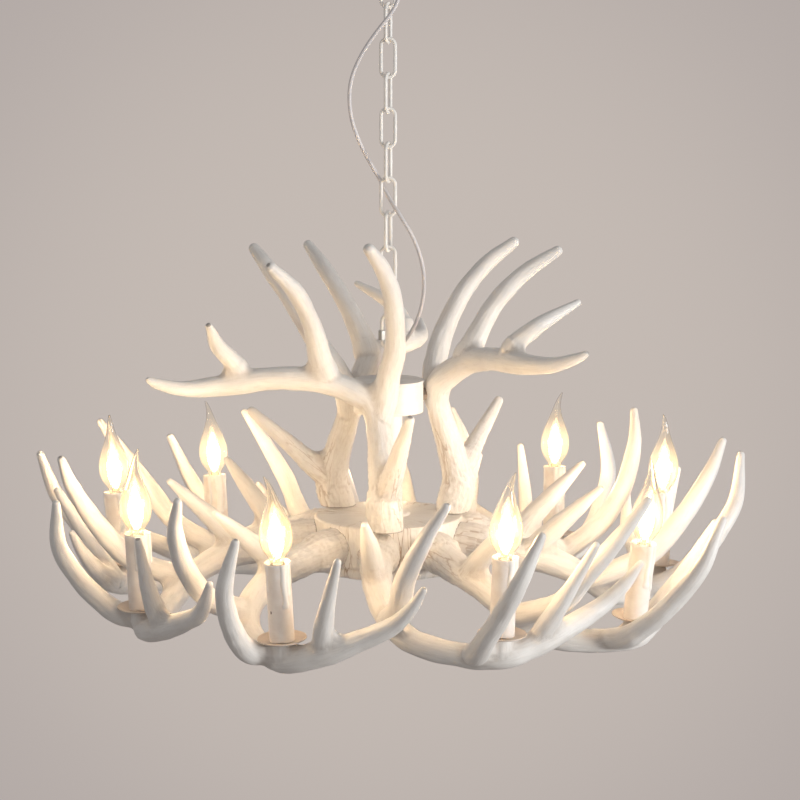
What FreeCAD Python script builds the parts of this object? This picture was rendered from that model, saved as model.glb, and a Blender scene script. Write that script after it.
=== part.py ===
import FreeCAD, Part
import os
from math import acos, atan2, cos, degrees, pi, sin, sqrt, tan

# Antler chandelier: nine cast antlers stand out from a turned hub, each with a candle lamp in its
# crook, and three more climb a centre column to a small drum that hides the wiring.  A quick link,
# a ten-link chain and a threaded-through cord hang it from a canopy on a ceiling bar.
# Millimetres.  The origin is the middle of the bar's top face, on the ceiling; -Y is the front.

V = FreeCAD.Vector
UP = V(0, 0, 1)

# fits
body_gap = 0.3          # clearance holes and loose fits
hang_gap = 0.25         # where one wire hangs in another
face_gap = 0.05         # between curved faces that are pressed together
running_gap = 0.05      # radial, for a nut on its thread

# flat sides that stand for a circle
wide_sides = 20
hub_sides = 20
sleeve_sides = 10
small_sides = 10

# ceiling bar, stem, canopy and loop
bar_width = 18.0
bar_thick = 2.0
bar_middle = 56.0       # length of the part that is set down from the ceiling
bar_slope = 6.0         # run of each sloped web
bar_drop = 9.0
bar_slot_spacing = 86.0
bar_slot_length = 11.0
bar_slot_width = 4.5
bar_end = 3.5           # metal left beyond each slot
stem_dia = 10.0
stem_bore = 7.0
stem_above = 3.0        # stem's end above the bar's middle
stem_nut_across = 16.0
stem_nut_high = 3.5
canopy_dia = 112.0
canopy_high = 24.0
canopy_wall = 1.2
canopy_lift = 0.5       # shadow gap under the ceiling
canopy_skirt = 7.0      # straight wall before the dome starts
canopy_shoulder = 0.72  # of the radius, where the dome turns in
canopy_shoulder_high = 3.5
collar_dia = 24.0
collar_high = 7.0
loop_neck_dia = 16.0
loop_thread = 6.0       # how far the stem screws into the loop
bell_dia = 24.0
bell_bore = 18.0
bell_high = 13.0
loop_wire = 5.0
loop_ring_dia = 33.0    # outside
loop_drop = 20.5        # stem's end to the middle of the ring
block_length = 14.0
block_width = 20.0
block_high = 9.5
block_side = 12.0       # from the middle to the block's near face
block_shift = 6.0       # how far the block stands out behind the bar
lead_bend = 2.6
lead_under_ceiling = 3.2
lead_in_loop = 2.0      # lead below the stem's end

# chain
link_count = 10
link_length = 47.65
link_width = 20.0
link_wire = 4.2
quick_length = 41.0
quick_width = 19.0
quick_wire = 4.2
quick_gap = 6.0
quick_nut_across = 7.6
quick_nut_high = 11.0
quick_nut_below = 10.0  # rest height of the nut's lower face under the link's middle

# cord
cord_dia = 4.5
cord_sides = 6
gland_dia = 11.0
gland_high = 9.0
gland_lip = 1.1         # width of its top edge
gland_grip = 4.0        # how far the cord stands in the gland
gland_place = 0.6       # of the drum's radius

# eye, drum, column
eye_wire = 5.0
eye_length = 39.0
eye_width = 26.0
eye_neck_dia = 13.0
eye_neck_high = 5.6
eye_socket = 4.0        # rod standing in the eye's neck
drum_dia = 80.0
drum_high = 37.0
drum_wall = 1.5
cable_hole = 3.4        # for the cores, in the drum's floor
lid_thick = 2.0
lid_rim = 5.0
column_dia = 32.0
column_wall = 1.5
column_high = 116.5
flange_dia = 50.0
flange_high = 3.0
rod_dia = 10.0
rod_nut_across = 17.0
rod_nut_high = 6.0

# hub
hub_dia = 170.0
hub_high = 61.0
hub_top = 8.0
hub_wall = 7.5
hub_waist = 2.5         # shallow hollow round the hub's lower half
hub_bead = 5.0          # bead at top and bottom edges
hub_waist_low = 10.0    # height of the hollow's middle over the foot
hub_seat_depth = 2.5    # flats milled into the hub for the lower antlers
hub_seat_size = 52.0
cover_seat = 2.0        # width of the ledge that the cover bears on
cover_thick = 2.5
cover_depth = 5.0       # from the hub's foot up to the ledge
cap_nut_across = 17.0
cap_nut_high = 12.0
cap_nut_dome = 5.0

# candles
candle_plane = 12.0     # sleeve tops above the hub's top face
sleeve_dia = 28.0
sleeve_bore = 25.0
sleeve_length = 85.0
plate_dia = 52.0
plate_thick = 1.2
plate_rim = 4.0         # rise of the drip plate's rim
plate_seat = 30.0       # flat middle of the plate
seat_high = 15.0        # boss cast on the antler under the plate
seat_dia = 23.0
socket_dia = 21.5
socket_length = 30.0
socket_sink = 6.0       # socket's top under the sleeve's top
socket_bore = 15.0
socket_floor = 5.0
bracket_width = 9.0
bracket_thick = 1.6
bracket_back = 7.0      # strap's outer face behind the candle's axis
bulb_cap_dia = 13.6
bulb_cap_depth = 20.0
bulb_dia = 35.0
bulb_high = 99.0        # above the socket's top
bulb_tip_lean = 9.0
bulb_turn = 137.5       # degrees from one bulb's tip to the next
bulb_sides = 6

# fasteners
bolt_dia = 6.0
bolt_grip = 22.0        # length of bolt inside a lower antler
short_grip = 12.0       # and inside an upper antler's foot
bolt_across = 10.0
bolt_head_high = 4.0
spacer_across = 13.0
screw_dia = 4.0
screw_across = 7.0
screw_head_high = 2.4
screw_grip = 11.0

# Antler curves, in an antler's own directions: along the ring to the right as seen from outside,
# outward from the hub's middle, up from the sleeve tops, then the radius there.
ring_turn = 1.0         # degrees that the whole ring is turned
beam_sides = 6
tine_sides = 5

lower_pivot = (-44, 90, -40)
lower_base = [(-35, 68, -37, 20), (-42, 83, -39.5, 23), (-53, 102, -43, 20), (-62, 121, -48, 18)]
lower_beam = [(-79, 168, -59, 16), (-86, 210, -80, 14), (-74, 240, -101, 13.5), (-40, 276, -111, 13),
              (-4, 312, -110, 13.5), (35, 317, -100, 14), (116, 315, -66, 9.5), (157, 325, -22, 2.5)]
lower_tines = [
    [(-86, 204, -88, 11), (-104, 280, -56, 12), (-112, 318, -15, 11), (-106, 352, 30, 8),
     (-92, 374, 68, 2.5)],
    [(-26, 288, -109, 9), (-35, 324, -101, 12.5), (-37, 367, -66, 11), (-27, 408, -12, 8.5),
     (-8, 421, 39, 2.5)],
    [(38, 308, -102, 12), (58, 344, -45, 8.5), (81, 369, 13, 2.5)],
    [(-72, 144, -56, 13), (-101, 194, -4, 9.5), (-118, 223, 24, 4)]]
lower_seat = (-3, 318.5, -87)       # middle of the seat's top face
lower_axis_top = (-3, 326, 1)       # middle of the sleeve's top
# turns about the pivot, in degrees: yaw, roll, pitch, for antlers at -160 to 160 and 180 degrees
lower_turns = {-140: (-2, -2, -2.5), -100: (3, -1, 0.5), -60: (-2.5, 2.5, 1), -20: (1, -1, -0.5),
               20: (-2.5, 0, 0.5), 60: (4, -0.5, -2), 100: (1, 2.5, 1.5), 140: (0, 2.5, 0.5),
               180: (-1, 0, -3.5)}

upper_pivot = (0, 58, 125)
drum_bolt_point = (-6, 58, 126)
upper_drum_gap = 4.5    # spacer between drum and antler
upper_trunk = [(0, 82, -16, 19), (0, 88, 8, 20.5), (1, 88, 32, 17), (0, 79, 62, 16), (-5, 62, 104, 13.5),
               (-11, 56, 124, 14.5), (-24, 56, 138, 15), (-61, 67, 158, 14), (-151, 77, 166, 13),
               (-188, 86, 159, 11), (-218, 100, 157, 8.5), (-250, 125, 174, 2.5)]
upper_tines = [
    [(0, 80, 26, 9), (8, 96, 34, 13.5), (30, 132, 76, 9.5), (49, 165, 115, 4)],
    [(-6, 56, 122, 9), (8, 60, 148, 12), (24, 78, 192, 11.5), (30, 105, 240, 9.5), (18, 166, 304, 2.5)],
    [(-56, 64, 152, 9), (-62, 74, 176, 12.5), (-65, 98, 222, 10.5), (-91, 169, 291, 2.5)],
    [(-150, 74, 162, 7), (-160, 84, 182, 10), (-171, 110, 206, 7.5), (-168, 156, 230, 2.5)]]
# azimuth: yaw, roll, pitch and lift
upper_turns = {-8: (3, -5, 5, -2), 112: (0, 6, -4, 3), -128: (-2.5, 4, -2.5, -6)}


# --- shapes -----------------------------------------------------------------

def turned(profile, sides):
    """Solid of revolution about Z of a closed outline of (radius, height) points, in flat facets."""
    faces = []
    turns = [2 * pi * k / sides for k in range(sides)]
    for (radius, height), (after_radius, after_height) in zip(profile, profile[1:] + profile[:1]):
        low = [V(radius * cos(a), radius * sin(a), height) for a in turns]
        high = [V(after_radius * cos(a), after_radius * sin(a), after_height) for a in turns]
        if radius == 0 and after_radius == 0:
            continue
        if radius == 0 or after_radius == 0:
            faces.append(Part.Face(Part.makePolygon(low + low[:1] if radius else high + high[:1])))
            continue
        for k in range(sides):
            after = (k + 1) % sides
            faces.append(Part.Face(Part.makePolygon([low[k], low[after], high[after], high[k], low[k]])))
    return outward_solid(faces)


def outward_solid(faces):
    solid = Part.Solid(Part.Shell(faces))
    if solid.Volume < 0:
        solid.reverse()
    return solid


def tube(outer, inner, low, high, sides):
    return turned([(inner / 2, low), (outer / 2, low), (outer / 2, high), (inner / 2, high)], sides)


def prism(sides, across_flats, low, high, turn=0.0):
    """Upright bar with a regular outline, such as a nut."""
    reach = across_flats / 2 / cos(pi / sides)
    corners = [V(reach * cos(2 * pi * k / sides + turn), reach * sin(2 * pi * k / sides + turn), low)
               for k in range(sides)]
    return Part.Face(Part.makePolygon(corners + corners[:1])).extrude(V(0, 0, high - low))


def threaded_nut(across_flats, low, high, thread):
    return prism(6, across_flats, low, high).cut(prism(small_sides, thread + 2 * face_gap, low, high))


def skin(rings, closed=False):
    """Faceted solid through rings of as many points each, capped unless it closes on itself."""
    faces = []
    ends = rings[1:] + rings[:1] if closed else rings[1:]
    for low, high in zip(rings, ends):
        for k in range(len(low)):
            after = (k + 1) % len(low)
            for corners in ((low[k], low[after], high[after]), (low[k], high[after], high[k])):
                faces.append(Part.Face(Part.makePolygon([*corners, corners[0]])))
    if not closed:
        faces += [Part.Face(Part.makePolygon([*ring, ring[0]])) for ring in (rings[0], rings[-1])]
    return outward_solid(faces)


def ring_about(centre, ahead, across, radius, sides, turn=0.0):
    """Corners round a centre, of a polygon that has the area of a circle of that radius."""
    reach = radius * sqrt(2 * pi / (sides * sin(2 * pi / sides)))
    up = ahead.cross(across)
    angles = [2 * pi * (k + turn) / sides for k in range(sides)]
    return [centre + (across * cos(a) + up * sin(a)) * reach for a in angles]


def branch(points, sides):
    """Antler stem or tine along (x, y, z, radius) points, each ring turned by half a side."""
    centres = [V(*point[:3]) for point in points]
    rings = []
    across = None
    for i, centre in enumerate(centres):
        ahead = centres[min(i + 1, len(centres) - 1)] - centres[max(i - 1, 0)]
        ahead.normalize()
        if across is None:
            across = ahead.cross(UP)
        across = across - ahead * across.dot(ahead)
        across.normalize()
        rings.append(ring_about(centre, ahead, across, points[i][3], sides, i / 2))
    return skin(rings)


def oval_path(length, width, wire, steps):
    """Corners of the centre line of a link in the XZ plane."""
    bend = (width - wire) / 2
    straight = length / 2 - wire / 2 - bend
    corners = []
    for end in (1, -1):
        for k in range(steps + 1):
            angle = end * pi * (k / steps - 0.5)
            corner = V(-bend * sin(angle), 0, end * (straight + bend * cos(angle)))
            if straight > 0 or k < steps:
                corners.append(corner)
    return corners


def wire_loop(length, width, wire, steps=6, sides=6):
    """Closed oval of wire in the XZ plane, centred on the origin, inside its true round form."""
    path = oval_path(length, width, wire, steps)
    rings = []
    for i, corner in enumerate(path):
        before = (corner - path[i - 1]).normalize()
        after = (path[(i + 1) % len(path)] - corner).normalize()
        ahead = (before + after).normalize()
        stretch = 1 / ahead.dot(after)
        outward = ahead.cross(V(0, 1, 0))
        angles = [2 * pi * (k + 0.5) / sides for k in range(sides)]
        rings.append([corner + outward * (stretch * wire / 2 * cos(a)) + V(0, wire / 2 * sin(a), 0)
                      for a in angles])
    return skin(rings, closed=True)


def quarter_turned(shape):
    return shape.rotated(V(0, 0, 0), UP, 90)


def at_height(shape, height):
    return shape.translated(V(0, 0, height))


def save(node, *solids):
    shape = solids[0] if len(solids) == 1 else Part.makeCompound(list(solids))
    for solid in solids:
        if not solid.isValid() or len(solid.Solids) != 1:
            print("check", node, solid.isValid(), len(solid.Solids))
    shape.exportStep(f"parts/{node}.step")


# --- heights, from the ceiling down -------------------------------------------

stem_end = -(canopy_lift + canopy_high + collar_high + loop_thread)
loop_middle = stem_end - loop_drop
loop_wire_low = loop_middle - (loop_ring_dia - loop_wire) / 2
first_link = loop_wire_low + loop_wire / 2 + hang_gap + link_wire - link_length / 2
link_pitch = link_length - 2 * link_wire - hang_gap
last_link = first_link - (link_count - 1) * link_pitch
quick_middle = last_link - link_length / 2 + link_wire + hang_gap + quick_wire - quick_length / 2
quick_wire_low = quick_middle - (quick_length - quick_wire) / 2
eye_top = quick_wire_low + quick_wire / 2 + hang_gap + eye_wire
eye_middle = eye_top - eye_length / 2
lid_face = eye_top - eye_length - eye_neck_high
drum_floor = lid_face - drum_high
hub_face = drum_floor - column_high - flange_high
sleeve_plane = hub_face + candle_plane
hub_foot = hub_face - hub_high
cover_face = hub_foot + cover_depth
hub_inner = hub_dia / 2 - hub_wall
cover_reach = hub_inner + cover_seat
stem_top = -bar_drop + stem_above
drum_bolt_height = (lid_face + drum_floor) / 2


# --- ceiling fixing -----------------------------------------------------------

def mounting_bar():
    """Flat bar whose middle is set down, which leaves room for the lead under the ceiling."""
    end = (bar_slot_spacing + bar_slot_length) / 2 + bar_end
    knee = bar_middle / 2
    heel = knee + bar_slope
    top = [(-end, 0), (-heel, 0), (-knee, -bar_drop), (knee, -bar_drop), (heel, 0), (end, 0)]
    corners = [V(x, -bar_width / 2, z) for x, z in top + [(x, z - bar_thick) for x, z in reversed(top)]]
    bar = Part.Face(Part.makePolygon(corners + corners[:1])).extrude(V(0, bar_width, 0))
    for side in (-1, 1):
        middle = side * bar_slot_spacing / 2
        half = (bar_slot_length - bar_slot_width) / 2
        corner = V(middle - half, -bar_slot_width / 2, -bar_thick)
        slot = Part.makeBox(2 * half, bar_slot_width, bar_thick, corner)
        for shift in (-half, half):
            centre = V(middle + shift, 0, -bar_thick)
            slot = slot.fuse(Part.makeCylinder(bar_slot_width / 2, bar_thick, centre))
        bar = bar.cut(slot)
    return bar.cut(prism(small_sides, stem_dia + 2 * face_gap, -bar_drop - bar_thick, -bar_drop))


def stem_nut():
    top = -bar_drop - bar_thick
    return threaded_nut(stem_nut_across, top - stem_nut_high, top, stem_dia)


def canopy():
    """Spun cup with a straight skirt and a shallow dome, open to the ceiling."""
    top = -canopy_lift
    outer = canopy_dia / 2
    inner = outer - canopy_wall
    foot = top - canopy_high
    hole = stem_dia / 2 + body_gap
    shoulder = outer * canopy_shoulder
    bend = foot + canopy_shoulder_high
    return turned([(outer, top), (outer, top - canopy_skirt), (shoulder, bend), (collar_dia / 2, foot),
                   (hole, foot), (hole, foot + canopy_wall), (collar_dia / 2, foot + canopy_wall),
                   (shoulder - canopy_wall / 2, bend + canopy_wall), (inner, top - canopy_skirt), (inner, top)],
                  wide_sides)


def canopy_collar():
    """Screw collar that holds the canopy up."""
    top = -(canopy_lift + canopy_high)
    thread = stem_dia / 2 + face_gap
    low = top - collar_high
    return turned([(thread, top), (collar_dia / 2, top), (collar_dia / 2, (top + low) / 2),
                   (loop_neck_dia / 2, low), (thread, low)], small_sides)


def ceiling_loop():
    """Bell-mouthed neck and ring: the cord comes down inside the bell."""
    neck_top = -(canopy_lift + canopy_high + collar_high)
    bell_top = stem_end + 1.0
    foot = bell_top - bell_high
    thread = stem_dia / 2 + face_gap
    neck = turned([(thread, neck_top), (loop_neck_dia / 2, neck_top), (loop_neck_dia / 2, bell_top - 1),
                   (bell_dia / 2, bell_top - 5), (bell_dia / 2, foot), (bell_bore / 2, foot),
                   (bell_bore / 2, bell_top - 4), (stem_bore / 2 + 1, stem_end - 0.5),
                   (thread, stem_end)], small_sides)
    ring = at_height(quarter_turned(wire_loop(loop_ring_dia, loop_ring_dia, loop_wire, 8)), loop_middle)
    ring = ring.cut(prism(small_sides, bell_bore * cos(pi / small_sides), foot, stem_end))
    return neck.fuse(ring)


def terminal_block():
    """Two-way connector block under the bar, its screws reached from below."""
    back = bar_width / 2 + block_shift
    low = -bar_drop - bar_thick - block_high
    block = Part.makeBox(block_length, block_width, block_high, V(block_side, back - block_width, low))
    for share in (0.3, 0.7):
        screw = V(block_side + block_length / 2, back - share * block_width, low)
        block = block.cut(prism(8, 3.4, 0, 4).translated(screw))
    return block


def supply_lead():
    """The cord's upper stretch: up the stem, over the bar's middle and down into the block."""
    over = V(block_side + block_length / 2, bar_width / 2 + block_shift / 2, -lead_under_ceiling)
    block_top = V(over.x, over.y, -bar_drop - bar_thick)
    points = [V(0, 0, stem_end - lead_in_loop), V(0, 0, -lead_under_ceiling), over, block_top]
    across = V(over.y, -over.x, 0).normalize()
    rings = []
    for edge in rounded_route(points, lead_bend).Edges:
        bend = edge.Curve.TypeId == "Part::GeomCircle"
        rings += [ring_on(edge, share, across) for share in ((0, 0.5) if bend else (0,))]
    return skin(rings + [ring_on(edge, 1, across)])


def ring_on(edge, share, across):
    """Corners of the cord's section at a share of an edge of its middle line."""
    where = edge.FirstParameter + share * (edge.LastParameter - edge.FirstParameter)
    return ring_about(edge.valueAt(where), edge.tangentAt(where), across, cord_dia / 2, cord_sides)


# --- chain, quick link, eye ----------------------------------------------------

def chain_links():
    facing = wire_loop(link_length, link_width, link_wire)
    sideways = quarter_turned(facing)
    return [at_height(sideways if k % 2 else facing, first_link - k * link_pitch) for k in range(link_count)]


def quick_link():
    """Oval of wire with a threaded gap in its left leg, which a long nut closes."""
    leg = (quick_width - quick_wire) / 2
    gap_low = quick_middle - quick_nut_below + (quick_nut_high - quick_gap) / 2
    link = at_height(wire_loop(quick_length, quick_width, quick_wire), quick_middle)
    return link.cut(Part.makeBox(leg, 2 * quick_wire, quick_gap, V(-1.5 * leg, -quick_wire, gap_low)))


def quick_link_nut():
    low = quick_middle - quick_nut_below
    leg = (quick_width - quick_wire) / 2
    nut = prism(6, quick_nut_across, low, low + quick_nut_high, pi / 6)
    thread = quick_wire / cos(pi / small_sides) + 2 * running_gap
    return nut.cut(prism(small_sides, thread, low, low + quick_nut_high)).translated(V(-leg, 0, 0))


def fixture_eye():
    eye = at_height(quarter_turned(wire_loop(eye_length, eye_width, eye_wire)), eye_middle)
    low = lid_face
    in_ring = low + eye_neck_high + eye_wire / 2
    neck = turned([(0, low), (eye_neck_dia / 2, low), (eye_neck_dia / 2, low + eye_neck_high / 2),
                   (eye_wire / 2, in_ring), (0, in_ring)], small_sides)
    return eye.fuse(neck).cut(prism(small_sides, rod_dia + 2 * face_gap, low, low + eye_socket))


# --- cord ------------------------------------------------------------------------

gland_offset = gland_place * drum_dia / 2

# middle of the cord from the loop's bell to the gland on the drum's lid
cord_route = [(0, 0, -41), (1, -1.5, -50), (6, -7, -61), (13, -12.5, -75), (15, -16.5, -93), (6, -18, -115),
              (-13.5, -18.5, -138), (-31, -15.5, -164), (-43.5, -13, -194), (-43, -9, -230), (-33, -1, -260),
              (-21, 9, -284), (-9, 10, -304), (1, -2, -324), (14, -14, -343), (31, -14.5, -371), (41, -7.5, -405),
              (40.5, 0, -440), (31, 8, -471), (14, 17.5, -496),
              (3.5, gland_offset - 1.2, -508.5),
              (0, gland_offset, -518.5)]


def rounded_route(points, largest=None):
    """Straight runs joined by tangent arcs, each as large as its two runs allow."""
    edges = []
    radii = []
    start = points[0]
    for before, corner, after in zip(points, points[1:], points[2:]):
        back = before - corner
        onward = after - corner
        turn = pi - acos(back.dot(onward) / back.Length / onward.Length)
        trim = 0.45 * min(back.Length, onward.Length)
        if largest:
            trim = min(trim, largest * tan(turn / 2))
        radius = trim / tan(turn / 2)
        radii.append(radius)
        arc_from = corner + back.normalize() * trim
        arc_to = corner + onward.normalize() * trim
        to_centre = (back + onward).normalize()
        centre = corner + to_centre * (radius / cos(turn / 2))
        edges.append(Part.LineSegment(start, arc_from).toShape())
        edges.append(Part.Arc(arc_from, centre - to_centre * radius, arc_to).toShape())
        start = arc_to
    edges.append(Part.LineSegment(start, points[-1]).toShape())
    print("radii", [round(radius, 1) for radius in radii], "length", round(sum(e.Length for e in edges)))
    return Part.Wire(edges)


def round_tube(path):
    """Cord along a path, its section a hexagon with the round cord's area."""
    start = path.Edges[0].Vertexes[0].Point
    ahead = path.Edges[0].tangentAt(path.Edges[0].FirstParameter)
    across = ahead.cross(V(0, 1, 0)).normalize()
    ring = ring_about(start, ahead, across, cord_dia / 2, cord_sides)
    solid = path.makePipeShell([Part.makePolygon([*ring, ring[0]])], True, False)
    print("volume over section times length", round(solid.Volume / (pi * cord_dia ** 2 / 4 * path.Length), 4))
    return solid


def cord():
    gland_mouth = V(0, gland_offset, lid_face + gland_high - gland_grip)
    return round_tube(rounded_route([V(*point) for point in cord_route] + [gland_mouth]))


def cord_gland():
    low = lid_face
    bore = cord_dia / 2 + 2 * body_gap
    rim = low + gland_high
    floor = rim - gland_grip - body_gap
    gland = turned([(0, low), (gland_dia / 2, low), (gland_dia / 2, (low + rim) / 2), (bore + gland_lip, rim),
                    (bore, rim), (bore, floor), (0, floor)], small_sides)
    return gland.translated(V(0, gland_offset, 0))


# --- drum and column ---------------------------------------------------------------

def drum():
    outer = drum_dia / 2
    inner = outer - drum_wall
    high = lid_face - lid_thick
    hole = rod_dia / 2 + body_gap
    shell = turned([(hole, drum_floor), (outer, drum_floor), (outer, high), (inner, high),
                    (inner, drum_floor + drum_wall), (hole, drum_floor + drum_wall)], wide_sides)
    across = bolt_dia + body_gap
    holes = [radial_bar(drum_bolt_azimuth(azimuth), drum_bolt_height, across, inner / 2, 2 * outer, 6)
             for azimuth in upper_turns]
    cable_way = prism(6, cable_hole, drum_floor, drum_floor + drum_wall)
    cable_way = cable_way.translated(V((rod_nut_across / sqrt(3) + column_dia / 2 - column_wall) / 2, 0, 0))
    return shell.cut(holes + [cable_way])


def drum_lid():
    outer = drum_dia / 2
    rim = outer - drum_wall - face_gap
    hole = rod_dia / 2 + body_gap
    low = lid_face - lid_thick
    return turned([(hole, low), (hole, lid_face), (outer + 1, lid_face), (outer + 1, low), (rim, low),
                   (rim, low - lid_rim), (rim - lid_thick, low - lid_rim), (rim - lid_thick, low)], wide_sides)


def column():
    return tube(column_dia, column_dia - 2 * column_wall, hub_face + flange_high, drum_floor, sleeve_sides)


def column_flange():
    hole = rod_dia / 2 + body_gap
    return turned([(hole, hub_face), (flange_dia / 2, hub_face), (flange_dia / 2 - 2, hub_face + flange_high),
                   (hole, hub_face + flange_high)], sleeve_sides)


def threaded_rod():
    low = cover_face - cap_nut_high + 3
    return prism(small_sides, rod_dia, low, lid_face + eye_socket - face_gap)


def rod_nuts():
    """Nuts under the lid, on the drum's floor and under the hub's top."""
    lows = (lid_face - lid_thick - rod_nut_high, drum_floor + drum_wall, hub_face - hub_top - rod_nut_high)
    return [threaded_nut(rod_nut_across, low, low + rod_nut_high, rod_dia) for low in lows]


# --- hub -------------------------------------------------------------------------------

def hub():
    outer = hub_dia / 2
    inner = hub_inner
    cover = cover_reach + body_gap
    hole = rod_dia / 2 + body_gap
    bead = hub_bead
    waist = hub_foot + hub_waist_low
    body = turned([(hole, hub_face), (outer - bead, hub_face), (outer, hub_face - bead / 2),
                   (outer, waist + bead), (outer - hub_waist, waist), (outer, hub_foot + bead),
                   (outer - bead / 2, hub_foot), (cover, hub_foot), (cover, cover_face), (inner, cover_face),
                   (inner, hub_face - hub_top), (hole, hub_face - hub_top)], hub_sides)
    across = bolt_dia + body_gap
    radial = [radial_bar(*lower_bolt_place(azimuth), across, inner - hub_wall, outer + hub_wall, 6)
              for azimuth in lower_turns]
    upright = [prism(6, across, -hub_top, 0).translated(upper_foot(azimuth)) for azimuth in upper_turns]
    return body.cut(radial + upright + [hub_seat(azimuth) for azimuth in lower_turns])


def hub_seat(azimuth):
    """Block whose near face is the flat on the hub that a lower antler bears on."""
    turn, height = lower_bolt_place(azimuth)
    half = hub_seat_size / 2
    flat = hub_dia / 2 - hub_seat_depth
    block = Part.makeBox(2 * half, 2 * half, 2 * half, V(-half, -flat - 2 * half, -half))
    return block.rotated(V(0, 0, 0), UP, turn).translated(V(0, 0, height))


def hub_cover():
    hole = rod_dia / 2 + body_gap
    return turned([(hole, cover_face), (cover_reach, cover_face), (cover_reach, cover_face - cover_thick),
                   (hole, cover_face - cover_thick)], wide_sides)


def cap_nut():
    top = cover_face - cover_thick
    nut = prism(6, cap_nut_across, top - cap_nut_high + cap_nut_dome, top)
    low = top - cap_nut_high
    rim = low + cap_nut_dome
    dome = turned([(0, low), (cap_nut_dome, low + cap_nut_dome / 3), (cap_nut_across / 2 - 0.5, rim), (0, rim)],
                  small_sides)
    bore_end = cover_face - cap_nut_high + 3 - face_gap
    return nut.fuse(dome).cut(prism(small_sides, rod_dia + 2 * face_gap, bore_end, top))


# --- antlers and candles -------------------------------------------------------------------

def own(point):
    """A curve's point (along, outward, up) as a vector for an antler at the front, outward being -Y."""
    return V(point[0], -point[1], point[2])


def branch_of(points, sides):
    return branch([(along, -out, up, radius) for along, out, up, radius in points], sides)


def antler_frame(azimuth, pivot, yaw, roll, pitch, lift=0.0):
    """Placement of a front antler's curves at its own azimuth, after its small turns about its pivot."""
    turns = FreeCAD.Rotation(UP, -yaw)
    turns = turns.multiply(FreeCAD.Rotation(V(1, 0, 0), -pitch)).multiply(FreeCAD.Rotation(V(0, 1, 0), roll))
    ring = FreeCAD.Placement(V(0, 0, sleeve_plane), FreeCAD.Rotation(UP, azimuth + ring_turn))
    return ring.multiply(FreeCAD.Placement(V(0, 0, lift), turns, own(pivot)))


def lower_frame(azimuth):
    return antler_frame(azimuth, lower_pivot, *lower_turns[azimuth])


def upper_frame(azimuth):
    return antler_frame(azimuth, upper_pivot, *upper_turns[azimuth])


def azimuth_of(point):
    return degrees(atan2(point.x, -point.y))


def radial_bar(azimuth, height, across, inner, outer, sides):
    """Bar that lies along a radius, for bolts and their holes."""
    bar = prism(sides, across, inner, outer).rotated(V(0, 0, 0), V(1, 0, 0), 90)
    return bar.rotated(V(0, 0, 0), UP, azimuth).translated(V(0, 0, height))


def lower_bolt_place(azimuth):
    """Azimuth and height of a lower antler's bolt, through the hub's wall into the antler's base."""
    seat = lower_frame(azimuth).multVec(own(lower_base[1]))
    return azimuth_of(seat), seat.z


def upper_foot(azimuth):
    """Point on the hub's top where the bolt under an upper antler's foot comes through."""
    foot = upper_frame(azimuth).multVec(own(upper_trunk[0]))
    reach = hub_inner * cos(pi / hub_sides) - bolt_across / 2 / cos(pi / 6) - body_gap
    return V(foot.x, foot.y, 0).normalize() * reach + V(0, 0, hub_face)


def drum_bolt_azimuth(azimuth):
    return azimuth_of(upper_frame(azimuth).multVec(own(drum_bolt_point)))


def lower_antler(azimuth):
    frame = lower_frame(azimuth)
    stem = branch_of(lower_base + lower_beam, beam_sides)
    antler = stem.fuse([branch_of(tine, tine_sides) for tine in lower_tines])
    antler.Placement = frame
    antler = antler.fuse(on_candle(azimuth, prism(6, seat_dia, -seat_high, 0)))
    turn, height = lower_bolt_place(azimuth)
    flat = hub_dia / 2 - hub_seat_depth
    inside = Part.makeBox(2 * flat, flat, 2 * flat, V(-flat, -flat, -flat))
    inside = inside.rotated(V(0, 0, 0), UP, turn).translated(V(0, 0, height))
    hole = radial_bar(turn, height, bolt_dia + body_gap, 0, hub_dia / 2 + bolt_grip + 1, 6)
    screw = on_candle(azimuth, prism(6, screw_dia + body_gap, -screw_grip - 1, 1))
    return antler.cut([inside, hole, screw])


def upper_antler(azimuth):
    antler = branch_of(upper_trunk, beam_sides).fuse([branch_of(tine, tine_sides) for tine in upper_tines])
    antler.Placement = upper_frame(azimuth)
    under_seat = Part.makeBox(2 * hub_dia, 2 * hub_dia, hub_high, V(-hub_dia, -hub_dia, hub_foot))
    reach = drum_dia / 2 + upper_drum_gap
    margin = drum_high / 4
    corner = V(-2 * reach, -reach, drum_floor - margin)
    beside_drum = Part.makeBox(4 * reach, 2 * reach, drum_high + 2 * margin, corner)
    beside_drum = beside_drum.rotated(V(0, 0, 0), UP, drum_bolt_azimuth(azimuth))
    foot_hole = prism(6, bolt_dia + body_gap, 0, short_grip + 1).translated(upper_foot(azimuth))
    drum_hole = radial_bar(drum_bolt_azimuth(azimuth), drum_bolt_height, bolt_dia + body_gap,
                           0, reach + short_grip + 1, 6)
    return antler.cut([under_seat, beside_drum, foot_hole, drum_hole])


def bolt(length):
    """Hex bolt that stands on Z = 0 under its head, its shank upward."""
    head = prism(6, bolt_across, -bolt_head_high, 0)
    return head.fuse(prism(6, bolt_dia, 0, length))


def radial_bolt(azimuth, height, head_radius, length):
    screw = bolt(length).rotated(V(0, 0, 0), V(1, 0, 0), 90).translated(V(0, -head_radius, 0))
    return screw.rotated(V(0, 0, 0), UP, azimuth).translated(V(0, 0, height))


def seated_head(inner):
    """Radius at which a bolt head's flat underside clears the curve of a wall's inner face."""
    return sqrt(inner ** 2 - (bolt_across / 2 / cos(pi / 6)) ** 2) - face_gap


def lower_antler_bolts():
    head = seated_head(hub_inner * cos(pi / hub_sides))
    length = hub_dia / 2 - head + bolt_grip
    return [radial_bolt(*lower_bolt_place(azimuth), head, length) for azimuth in lower_turns]


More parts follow.
